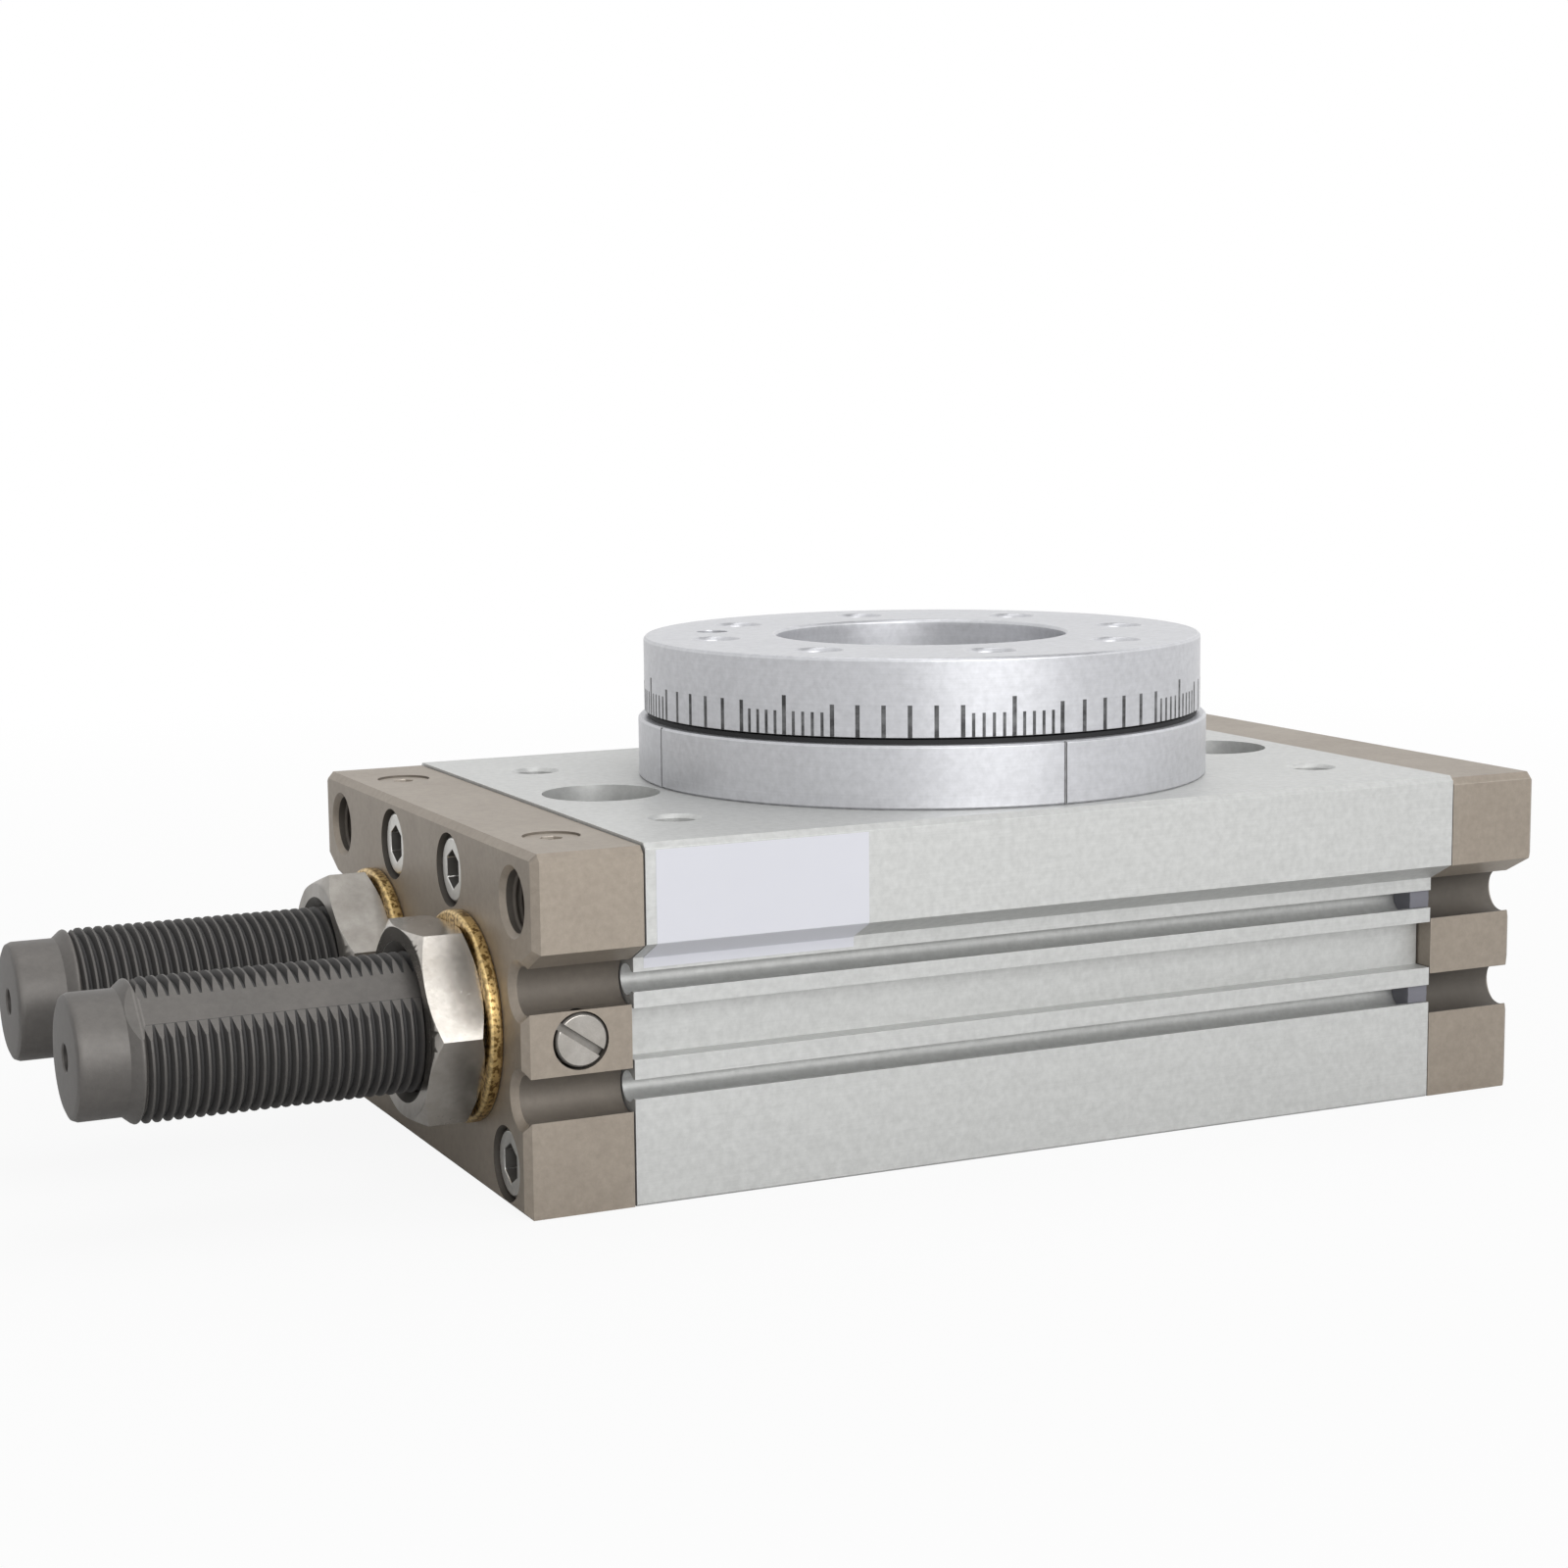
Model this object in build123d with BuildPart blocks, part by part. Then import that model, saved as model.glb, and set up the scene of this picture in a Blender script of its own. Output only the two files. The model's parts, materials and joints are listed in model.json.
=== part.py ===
from build123d import *
import math
import os

os.makedirs("parts", exist_ok=True)

# Pneumatic rotary table actuator: two rack pistons turn a pinion that carries a round table.
# Millimetres. The origin is on the table axis at the base plane, X runs along the housing, Z is up.
# The two shock absorbers leave the housing towards -X.

# Housing outline
housing_half_length = 84.0
cover_thickness = 16.0
gasket_thickness = 0.25
body_top = 52.0
block_overhang = 5.0
block_bottom = 38.0
waist_top = 35.3
edge_bevel = 0.8
small_bevel = 0.3
cover_drop = 0.4
cover_inset = 0.1
cover_round = 1.0
gasket_inset = 0.5

# Cylinders, each set by how far its axis lies behind the pitch line of its rack
bore_diameter = 26.0
rack_back = 8.0
cylinder_wall = 10.0
bore_height = 24.5
piston_clearance = 0.05

# Switch slots and the recess between them
rail_height = 24.3
slot_spacing = 15.2
slot_opening = 2.8
slot_round = 4.4
slot_depth = 4.8
recess_middle = 24.55
recess_height = 7.3
recess_depth = 3.4
slot_stop_length = 3.6
slot_stop_sink = 0.5
cover_groove_radius = 3.4
cover_groove_inset = 1.5
cover_bevel_foot = 34.6

# Gear
gear_module = 1.5
pinion_teeth = 16
pressure_angle = 20.0
backlash = 0.2
rack_addendum_factor = 0.9
dedendum_factor = 1.25
gear_face = 18.0
swing = 190.0
rest_turn = -10.0
front_direction = -90.0
chamber_clearance = 0.6
gear_relief = 2.4

# Hollow shaft
shaft_hole = 14.0
shaft_bottom = 0.5
shaft_neck = 26.0
collar_rim = 3.5

# Large bearing, bore 45
large_bearing_bore = 45.0
large_bearing_outside = 68.0
large_bearing_width = 12.0
large_seat_depth = 5.0
seat_relief = 0.8
seat_land = 3.8
large_ball = 6.4
large_ball_count = 14

# Small bearing, bore 20
small_bearing_bore = 20.0
small_bearing_outside = 32.0
small_bearing_width = 7.0
small_bearing_bottom = 1.6
small_ball = 3.4
small_ball_count = 11
small_shoulder = 24.0
ball_clearance = 0.05
ring_share = 0.3
cage_share = 0.55
circlip_thickness = 0.9
circlip_groove = 1.0
circlip_section = 2.6
circlip_gap = 7.0

# Bearing retainer flange, whose rim, lip and screws stand round the large bearing
retainer_rim = 11.0
retainer_height = 9.4
retainer_lip = 4.0
retainer_screw_inset = 4.0
retainer_screw_count = 6
retainer_screw_size = 4.0
retainer_screw_length = 16.0
index_width = 0.5
index_depth = 0.3

# Table
table_set_back = 1.0
table_gap = 1.0
table_thickness = 11.6
recess_diameter = 46.0
table_recess_depth = 8.0
table_floor_hole = 20.0
tap_margin = 10.5
tap_count = 8
table_tap = 6.8
table_tap_depth = 9.5
table_tap_mouth = 7.8
dowel_hole = 5.0
dowel_depth = 4.0
table_screw_circle = 33.0
table_screw_count = 6
table_screw_size = 5.0
table_screw_length = 12.0
pin_diameter = 4.0
pin_length = 7.0
dust_seal_inset = 0.5
dust_seal_wall = 1.5
dust_seal_height = 0.7

# Holes in the body
mount_margin = 12.75
mount_hole = 10.5
mount_head = 18.0
mount_head_depth = 11.0
side_tap_margin = 19.5
body_tap = 6.8
body_tap_depth = 11.0
body_tap_mouth = 7.8

# End cover fasteners and ports
cover_screw_size = 6.0
cover_screw_grip = 12.0
cover_head_hole = 10.8
cover_head_depth = 6.6
upper_screw_offset = 13.2
upper_screw_height = 44.5
lower_screw_margin = 8.0
lower_screw_height = 6.3
port_margin = 8.5
port_height = 44.0
port_diameter = 8.8
port_depth = 9.0
port_mouth = 10.2
top_plug_margin = 15.0
top_plug_inset = 8.4
top_plug_diameter = 8.2
top_plug_length = 2.4
top_plug_sink = 0.3
side_plug_diameter = 7.6
side_plug_length = 5.0
side_plug_play = 0.3
side_plug_sink = 0.1
side_plug_shift = 0.2
side_plug_turn = 35.0
passage_diameter = 3.0
needle_passage = 2.4
thread_clearance = 0.05

# Rack pistons
head_land = 1.4
wear_ring_width = 3.0
wear_ring_depth = 1.0
ring_land = 1.8
seal_width = 2.8
seal_depth = 2.0
end_land = 2.8
pocket_diameter = 14.0
pocket_depth = 12.0
magnet_length = 5.0
magnet_clearance = 0.05
rack_run_out = 0.4

# Shock absorbers
absorber_diameter = 20.0
absorber_length = 68.8
absorber_cap_diameter = 17.6
absorber_cap_length = 7.0
absorber_flare = 1.5
absorber_flat = 1.15
near_flat_angle = 47.0
far_flat_angle = 205.0
absorber_cavity = 13.0
absorber_end_wall = 8.8
adjuster_hole = 3.8
adjuster_depth = 2.5
rod_diameter = 6.0
rod_stroke = 15.0
rod_reserve = 0.5
rod_piston_length = 6.0
rod_cap_diameter = 10.0
rod_cap_length = 5.0
rod_cap_floor = 2.0
bush_length = 10.0
stop_gap = 0.3
running_clearance = 0.05
nut_across_flats = 27.0
nut_thickness = 8.0
nut_mouth_diameter = 23.0
nut_mouth_depth = 1.4
nut_chamfer_reach = 0.2
nut_chamfer_angle = 30.0
washer_rim = 1.75
washer_thickness = 2.0
washer_hole = 20.4
near_nut_turn = 0.0
far_nut_turn = 40.0

# Worked-out places
cover_inner = housing_half_length - cover_thickness
body_half_length = cover_inner - gasket_thickness
mount_spacing = 2 * (body_half_length - mount_margin)
tap_spacing_x = mount_spacing
cover_top = body_top - cover_drop
pitch_radius = gear_module * pinion_teeth / 2
bore_radius = bore_diameter / 2
bore_offset = pitch_radius + rack_back
waist_half_width = bore_offset + bore_radius + cylinder_wall
block_half_width = waist_half_width + block_overhang
cover_groove_centre = waist_half_width - cover_groove_inset
tap_spacing_y = 2 * (block_half_width - side_tap_margin)
lower_screw_offset = waist_half_width - lower_screw_margin
port_offset = block_half_width - port_margin
top_plug_offset = block_half_width - top_plug_margin
piston_radius = bore_radius - piston_clearance
slot_heights = (rail_height - slot_spacing / 2, rail_height + slot_spacing / 2)
tip_radius = pitch_radius + gear_module
root_radius = pitch_radius - dedendum_factor * gear_module
base_radius = pitch_radius * math.cos(math.radians(pressure_angle))
tooth_pitch = math.pi * gear_module
chamber_radius = tip_radius + chamber_clearance
gear_bottom = bore_height - gear_face / 2
gear_top = bore_height + gear_face / 2
large_seat = body_top - large_seat_depth
large_bearing_top = large_seat + large_bearing_width
small_bearing_top = small_bearing_bottom + small_bearing_width
retainer_diameter = large_bearing_outside + 2 * retainer_rim
retainer_lip_hole = large_bearing_outside - 2 * retainer_lip
retainer_screw_circle = large_bearing_outside + 2 * retainer_screw_inset
collar_diameter = large_bearing_bore + 2 * collar_rim
table_diameter = retainer_diameter - 2 * table_set_back
tap_circle = table_diameter - 2 * tap_margin
dust_seal_outside = table_diameter - 2 * dust_seal_inset
dust_seal_inside = dust_seal_outside - 2 * dust_seal_wall
retainer_top = body_top + retainer_height
table_bottom = retainer_top + table_gap
table_top = table_bottom + table_thickness
table_floor = table_top - table_recess_depth
hole_start = front_direction + rest_turn
hole_step = 360.0 / tap_count
travel = pitch_radius * math.radians(swing / 2)
rest_shift = pitch_radius * math.radians(rest_turn)
piston_reach = bore_offset - piston_radius
window_half = math.sqrt(tip_radius**2 - piston_reach**2)
rack_half = travel + window_half + rack_run_out
wear_ring_start = rack_half + head_land
seal_start = wear_ring_start + wear_ring_width + ring_land
piston_half = seal_start + seal_width + end_land
rod_tip = -(travel + piston_half - pocket_depth) - stop_gap
absorber_face = rod_tip - rod_cap_length - rod_stroke - rod_reserve
absorber_end = absorber_face - absorber_length
absorber_cavity_depth = absorber_length - absorber_end_wall
washer_diameter = nut_across_flats + 2 * washer_rim
cover_screw_places = [
    (-upper_screw_offset, upper_screw_height),
    (upper_screw_offset, upper_screw_height),
    (-lower_screw_offset, lower_screw_height),
    (lower_screw_offset, lower_screw_height),
]
BOTTOM = (Align.CENTER, Align.CENTER, Align.MIN)
TOP = (Align.CENTER, Align.CENTER, Align.MAX)


def finish(part, name):
    """Labels a finished piece and writes it to its own file."""
    part.label = name
    export_step(part, f"parts/{name}.step")


def circles(part, radius):
    """The circular edges of a part that have the given radius."""
    round_edges = part.edges().filter_by(GeomType.CIRCLE)
    return [edge for edge in round_edges if abs(edge.radius - radius) < 0.01]


def cap_screw(size, length):
    """A socket head cap screw along -Z, with the underside of its head at the origin."""
    head_radius = size * 0.83
    with BuildPart() as screw:
        Cylinder(head_radius, size, align=BOTTOM)
        chamfer(screw.edges().group_by(Axis.Z)[-1], size * 0.08)
        with BuildSketch(Plane.XY.offset(size)):
            RegularPolygon(size * 0.42, 6, major_radius=False)
        extrude(amount=-size * 0.55, mode=Mode.SUBTRACT)
        Cylinder(size / 2 - thread_clearance, length, align=TOP)
        chamfer(screw.edges().group_by(Axis.Z)[0], size * 0.1)
    return screw.part


def countersunk_screw(size, length):
    """A countersunk socket screw along -Z, with the flat top of its head at the origin."""
    with BuildPart() as screw:
        Cone(size / 2 - thread_clearance, size * 0.93, size * 0.5, align=TOP)
        with BuildSketch(Plane.XY):
            RegularPolygon(size * 0.3, 6, major_radius=False)
        extrude(amount=-size * 0.35, mode=Mode.SUBTRACT)
        with BuildSketch(Plane.XY.offset(-size * 0.5)):
            Circle(size / 2 - thread_clearance)
        extrude(amount=-(length - size * 0.5))
    return screw.part


def socket_plug(diameter, length):
    """A headless screw plug along -Z with a hex socket in its top, the top at the origin."""
    with BuildPart() as plug:
        Cylinder(diameter / 2 - thread_clearance, length, align=TOP)
        with BuildSketch(Plane.XY):
            RegularPolygon(diameter * 0.18, 6, major_radius=False)
        extrude(amount=-length * 0.6, mode=Mode.SUBTRACT)
    return plug.part


def ring(outside, inside, height, bottom):
    """A plain ring on the table axis."""
    with BuildPart() as made:
        with BuildSketch(Plane.XY.offset(bottom)):
            Circle(outside / 2)
            Circle(inside / 2, mode=Mode.SUBTRACT)
        extrude(amount=height)
    return made.part


def bearing_pieces(bore, outside, width, bottom, ball, count):
    """Outer ring, inner ring, cage and balls of a deep groove ball bearing on the table axis."""
    middle = (bore + outside) / 4
    level = bottom + width / 2
    wall = (outside - bore) / 2 * ring_share
    race = ball / 2 + ball_clearance
    with BuildPart() as groove:
        with BuildSketch(Plane.XZ):
            with Locations((middle, level)):
                Circle(race)
        revolve(axis=Axis.Z)
    pieces = []
    for high, low in ((outside / 2, outside / 2 - wall), (bore / 2 + wall, bore / 2)):
        with BuildPart() as one:
            with BuildSketch(Plane.XY.offset(bottom)):
                Circle(high)
                Circle(low, mode=Mode.SUBTRACT)
            extrude(amount=width)
            chamfer(circles(one, high if high == outside / 2 else low), small_bevel)
            add(groove.part, mode=Mode.SUBTRACT)
        pieces.append(one.part)
    cage_wall = ((outside - bore) / 2 - 2 * wall) * cage_share / 2
    with BuildPart() as cage:
        with BuildSketch(Plane.XY.offset(level - ball * 0.62)):
            Circle(middle + cage_wall)
            Circle(middle - cage_wall, mode=Mode.SUBTRACT)
        extrude(amount=ball * 1.24)
        with Locations(Location((0, 0, level))):
            with PolarLocations(middle, count):
                Cylinder(race + ball_clearance, ball, rotation=(0, 90, 0), mode=Mode.SUBTRACT)
    with BuildPart() as balls:
        with Locations(Location((0, 0, level))):
            with PolarLocations(middle, count):
                Sphere(ball / 2)
    return pieces[0], pieces[1], cage.part, balls.part


# Body extrusion
with BuildPart() as body:
    with BuildSketch(Plane.YZ.offset(-body_half_length)) as body_profile:
        with BuildLine():
            Polyline(
                (0, 0),
                (waist_half_width, 0),
                (waist_half_width, waist_top),
                (block_half_width, block_bottom),
                (block_half_width, body_top),
                (0, body_top),
            )
            mirror(about=Plane.YZ)
        make_face()
        chamfer(body_profile.vertices().group_by(Axis.Y)[-1], edge_bevel)
        chamfer(body_profile.vertices().group_by(Axis.Y)[0], small_bevel)
        with Locations((-waist_half_width, recess_middle), (waist_half_width, recess_middle)):
            Rectangle(2 * recess_depth, recess_height, mode=Mode.SUBTRACT)
        for side in (-1, 1):
            for height in slot_heights:
                with Locations((side * (waist_half_width - slot_depth + slot_round / 2), height)):
                    Circle(slot_round / 2, mode=Mode.SUBTRACT)
                with Locations((side * waist_half_width, height)):
                    Rectangle(slot_depth, slot_opening, mode=Mode.SUBTRACT)
        with Locations((-bore_offset, bore_height), (bore_offset, bore_height)):
            Circle(bore_radius, mode=Mode.SUBTRACT)
    extrude(amount=2 * body_half_length)
    # Gear chamber, both bearing seats and the circlip groove
    with BuildSketch(Plane.XY.offset(small_bearing_top)):
        Circle(chamber_radius)
    extrude(amount=body_top - small_bearing_top, mode=Mode.SUBTRACT)
    with BuildSketch(Plane.XY.offset(large_seat)):
        Circle(large_bearing_outside / 2)
    extrude(amount=large_seat_depth, mode=Mode.SUBTRACT)
    with BuildSketch(Plane.XY.offset(large_seat - seat_relief)):
        Circle(large_bearing_outside / 2 - seat_land)
    extrude(amount=seat_relief, mode=Mode.SUBTRACT)
    with BuildSketch(Plane.XY):
        Circle(small_bearing_outside / 2)
    extrude(amount=small_bearing_top, mode=Mode.SUBTRACT)
    with BuildSketch(Plane.XY.offset(small_bearing_bottom - circlip_thickness)):
        Circle(small_bearing_outside / 2 + circlip_groove)
    extrude(amount=circlip_thickness, mode=Mode.SUBTRACT)
    # Through mounting holes with a head recess above and a tapped mouth below
    with Locations(Location((0, 0, body_top))):
        with GridLocations(mount_spacing, 0, 2, 1):
            CounterBoreHole(mount_hole / 2, mount_head / 2, mount_head_depth, depth=body_top)
    # Tapped holes in the top and in both ends
    with Locations(Location((0, 0, body_top))):
        with GridLocations(tap_spacing_x, tap_spacing_y, 2, 2):
            CounterSinkHole(body_tap / 2, body_tap_mouth / 2, depth=body_tap_depth)
    with Locations(Location((0, 0, body_top))):
        with PolarLocations(retainer_screw_circle / 2, retainer_screw_count):
            Hole(retainer_screw_size / 2, depth=retainer_screw_length - retainer_height + 1)
    for end in (-1, 1):
        with BuildSketch(Plane.YZ.offset(end * body_half_length)):
            with Locations(*cover_screw_places):
                Circle(cover_screw_size / 2)
        extrude(amount=-end * (cover_screw_grip + 1), mode=Mode.SUBTRACT)
finish(body.part, "body")


def cover_outline(inset):
    """The closed outline of an end cover on the sketch plane, drawn in by the given inset."""
    low_half = waist_half_width - cover_inset - inset
    high_half = block_half_width - cover_inset - inset
    with BuildSketch() as outline:
        with BuildLine():
            Polyline(
                (0, inset),
                (low_half, inset),
                (low_half, slot_heights[1]),
                (cover_groove_centre, cover_bevel_foot),
                (high_half, block_bottom - cover_inset + inset / 2),
                (high_half, cover_top - inset),
                (0, cover_top - inset),
            )
            mirror(about=Plane.YZ)
        make_face()
        chamfer(outline.vertices().group_by(Axis.Y)[-1], cover_round)
        for side in (-1, 1):
            for height in slot_heights:
                with Locations((side * cover_groove_centre, height)):
                    Circle(cover_groove_radius + inset, mode=Mode.SUBTRACT)
    return outline.sketch


def end_cover(end, with_absorbers):
    """One end cover. end is -1 for the absorber side and 1 for the plain side."""
    outer = end * housing_half_length
    plug_x = end * (housing_half_length - top_plug_inset)
    with BuildPart() as cover:
        with BuildSketch(Plane.YZ.offset(outer)):
            add(cover_outline(0))
        extrude(amount=-end * cover_thickness)
        rim = cover.faces().sort_by(Axis.X)[0 if end < 0 else -1].outer_wire().edges()
        chamfer(rim, cover_round)
        with BuildSketch(Plane.YZ.offset(outer)):
            with Locations(*cover_screw_places):
                Circle(cover_head_hole / 2)
        extrude(amount=-end * cover_head_depth, mode=Mode.SUBTRACT)
        with BuildSketch(Plane.YZ.offset(outer)):
            with Locations(*cover_screw_places):
                Circle(cover_screw_size / 2)
        extrude(amount=-end * cover_thickness, mode=Mode.SUBTRACT)
        if with_absorbers:
            with BuildSketch(Plane.YZ.offset(outer)):
                with Locations((-bore_offset, bore_height), (bore_offset, bore_height)):
                    Circle(absorber_diameter / 2 + running_clearance)
            extrude(amount=-end * cover_thickness, mode=Mode.SUBTRACT)
            for side in (-1, 1):
                with Locations(Location((outer, side * port_offset, port_height), (0, end * 90, 0))):
                    CounterSinkHole(port_diameter / 2, port_mouth / 2, depth=port_depth)
                with Locations(Location((plug_x, side * top_plug_offset, cover_top))):
                    CounterBoreHole(
                        needle_passage / 2,
                        top_plug_diameter / 2,
                        top_plug_sink + top_plug_length,
                        depth=cover_top - bore_height,
                    )
                side_face = side * (waist_half_width - cover_inset)
                with Locations(Location((plug_x, side_face, bore_height), (-side * 90, 0, 0))):
                    CounterBoreHole(
                        passage_diameter / 2,
                        side_plug_diameter / 2 + side_plug_play,
                        side_plug_sink + side_plug_length,
                        depth=waist_half_width - bore_offset,
                    )
    return cover.part


finish(end_cover(-1, True), "left_end_cover")
finish(end_cover(1, False), "right_end_cover")

# Cover gaskets
for end, side_name in ((-1, "left"), (1, "right")):
    with BuildPart() as gasket:
        with BuildSketch(Plane.YZ.offset(end * body_half_length)):
            add(cover_outline(gasket_inset))
            with Locations((-bore_offset, bore_height), (bore_offset, bore_height)):
                Circle(bore_radius, mode=Mode.SUBTRACT)
            with Locations(*cover_screw_places):
                Circle(cover_screw_size / 2, mode=Mode.SUBTRACT)
            with Locations((-waist_half_width, recess_middle), (waist_half_width, recess_middle)):
                Rectangle(2 * (recess_depth + gasket_inset), recess_height, mode=Mode.SUBTRACT)
        extrude(amount=end * gasket_thickness)
    finish(gasket.part, f"{side_name}_gasket")

# Cover screws, one group for each cover
cover_seat = housing_half_length - cover_head_depth
cover_screw_length = cover_thickness - cover_head_depth + gasket_thickness + cover_screw_grip
cover_screw = cap_screw(cover_screw_size, cover_screw_length)
for end, side_name in ((-1, "left"), (1, "right")):
    with BuildPart() as screws:
        with Locations(*[Location((end * cover_seat, y, z), (0, end * 90, 0)) for y, z in cover_screw_places]):
            add(cover_screw)
    finish(screws.part, f"{side_name}_cover_screws")

# Plugs in the top of the left cover
plug_line = -housing_half_length + top_plug_inset
with BuildPart() as top_plugs:
    plug_top = cover_top - top_plug_sink
    with Locations(*[(plug_line, side * top_plug_offset, plug_top) for side in (-1, 1)]):
        add(socket_plug(top_plug_diameter, top_plug_length))
finish(top_plugs.part, "cover_top_plugs")

# Slotted plugs in the two sides of the left cover
with BuildPart() as slotted_plug:
    Cylinder(side_plug_diameter / 2, side_plug_length, align=TOP)
    chamfer(slotted_plug.edges().group_by(Axis.Z)[-1], small_bevel)
    Box(side_plug_diameter, side_plug_diameter / 7, side_plug_length / 2, mode=Mode.SUBTRACT)
with BuildPart() as side_plugs:
    plug_face = waist_half_width - cover_inset - side_plug_sink
    for side in (-1, 1):
        plug_place = (plug_line + side_plug_shift, side * plug_face, bore_height)
        with Locations(Location(plug_place, (-side * 90, 0, -side_plug_turn))):
            add(slotted_plug.part)
finish(side_plugs.part, "cover_side_plugs")

# Small stops that close the right ends of the switch slots
with BuildPart() as slot_stops:
    with BuildSketch(Plane.YZ.offset(body_half_length)):
        for side in (-1, 1):
            for height in slot_heights:
                with Locations((side * (waist_half_width - slot_depth + slot_round / 2), height)):
                    Circle(slot_round / 2 - thread_clearance)
                with Locations((side * (waist_half_width - slot_stop_sink - slot_depth / 4), height)):
                    Rectangle(slot_depth / 2, slot_opening - 2 * thread_clearance)
    extrude(amount=-slot_stop_length)
finish(slot_stops.part, "switch_slot_stops")

# Bearings
large = bearing_pieces(
    large_bearing_bore, large_bearing_outside, large_bearing_width, large_seat, large_ball, large_ball_count
)
small = bearing_pieces(
    small_bearing_bore,
    small_bearing_outside,
    small_bearing_width,
    small_bearing_bottom,
    small_ball,
    small_ball_count,
)
for side_name, pieces in (("upper", large), ("lower", small)):
    for piece, piece_name in zip(pieces, ("outer_ring", "inner_ring", "ball_cage", "balls")):
        finish(piece, f"{side_name}_bearing_{piece_name}")

# Circlip that holds the lower bearing in the base
with BuildPart() as circlip:
    with BuildSketch(Plane.XY.offset(small_bearing_bottom - circlip_thickness)):
        Circle(small_bearing_outside / 2 + circlip_groove)
        Circle(small_bearing_outside / 2 + circlip_groove - circlip_section, mode=Mode.SUBTRACT)
        with Locations((0, -small_bearing_outside / 2)):
            Rectangle(circlip_gap, 2 * circlip_section, mode=Mode.SUBTRACT)
    extrude(amount=circlip_thickness)
finish(circlip.part, "lower_bearing_circlip")

# Bearing retainer flange with its two index lines
with BuildPart() as retainer:
    with BuildSketch(Plane.XY.offset(body_top)):
        Circle(retainer_diameter / 2)
        Circle(retainer_lip_hole / 2, mode=Mode.SUBTRACT)
    extrude(amount=retainer_height)
    chamfer(circles(retainer, retainer_diameter / 2), small_bevel)
    with BuildSketch(Plane.XY.offset(body_top)):
        Circle(large_bearing_outside / 2)
    extrude(amount=large_bearing_top - body_top, mode=Mode.SUBTRACT)
    with Locations(Location((0, 0, retainer_top))):
        with PolarLocations(retainer_screw_circle / 2, retainer_screw_count):
            CounterSinkHole(retainer_screw_size / 2, retainer_screw_size * 0.95)
    with Locations(
        (0, -retainer_diameter / 2, body_top + retainer_height / 2),
        Location((-retainer_diameter / 2, 0, body_top + retainer_height / 2), (0, 0, 90)),
    ):
        Box(index_width, 2 * index_depth, retainer_height, mode=Mode.SUBTRACT)
finish(retainer.part, "bearing_retainer")

with BuildPart() as retainer_screws:
    with Locations(Location((0, 0, retainer_top))):
        with PolarLocations(retainer_screw_circle / 2, retainer_screw_count):
            add(countersunk_screw(retainer_screw_size, retainer_screw_length))
finish(retainer_screws.part, "retainer_screws")

finish(ring(dust_seal_outside, dust_seal_inside, dust_seal_height, retainer_top), "dust_seal")

# Round table
with BuildPart() as table:
    with BuildSketch(Plane.XY.offset(table_bottom)):
        Circle(table_diameter / 2)
        Circle(table_floor_hole / 2, mode=Mode.SUBTRACT)
    extrude(amount=table_thickness)
    with BuildSketch(Plane.XY.offset(table_floor)):
        Circle(recess_diameter / 2)
    extrude(amount=table_recess_depth, mode=Mode.SUBTRACT)
    chamfer(table.edges().filter_by(GeomType.CIRCLE).group_by(Axis.Z)[-1], edge_bevel / 2)
    with Locations(Location((0, 0, table_top), (0, 0, hole_start))):
        with PolarLocations(tap_circle / 2, tap_count):
            CounterSinkHole(table_tap / 2, table_tap_mouth / 2, depth=table_tap_depth)
    with Locations(Location((0, 0, table_top), (0, 0, hole_start - 2.5 * hole_step))):
        with Locations((tap_circle / 2, 0)):
            Hole(dowel_hole / 2, depth=dowel_depth)
    with Locations(Location((0, 0, table_floor))):
        with PolarLocations(table_screw_circle / 2, table_screw_count):
            CounterSinkHole(table_screw_size / 2, table_screw_size, depth=table_floor - table_bottom)
    with Locations(Location((0, 0, table_floor), (0, 0, 180 / table_screw_count))):
        with Locations((table_screw_circle / 2, 0)):
            Hole(pin_diameter / 2, depth=table_floor - table_bottom)
finish(table.part, "rotary_table")

# Hollow pinion shaft
half_angle = (tooth_pitch / 2 - backlash / 2) / 2 / pitch_radius
involute_at_pitch = math.tan(math.radians(pressure_angle)) - math.radians(pressure_angle)


def flank_point(radius, side):
    """A point of the involute flank at a radius, on the side -1 or 1 of a tooth that points along +X."""
    roll = math.acos(min(1.0, base_radius / radius))
    angle = side * (half_angle + involute_at_pitch - (math.tan(roll) - roll))
    return (radius * math.cos(angle), radius * math.sin(angle))


flank_steps = 4
flank_radii = [base_radius + (tip_radius - base_radius) * i / flank_steps for i in range(flank_steps + 1)]
foot_angle = half_angle + involute_at_pitch
foot_radius = root_radius - gear_module / 4
with BuildSketch() as tooth:
    with BuildLine():
        Spline(*[flank_point(r, -1) for r in flank_radii])
        ThreePointArc(flank_point(tip_radius, -1), (tip_radius, 0), flank_point(tip_radius, 1))
        Spline(*[flank_point(r, 1) for r in reversed(flank_radii)])
        Polyline(
            flank_point(base_radius, 1),
            (foot_radius * math.cos(foot_angle), foot_radius * math.sin(foot_angle)),
            (foot_radius * math.cos(foot_angle), -foot_radius * math.sin(foot_angle)),
            flank_point(base_radius, -1),
        )
    make_face()

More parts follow.
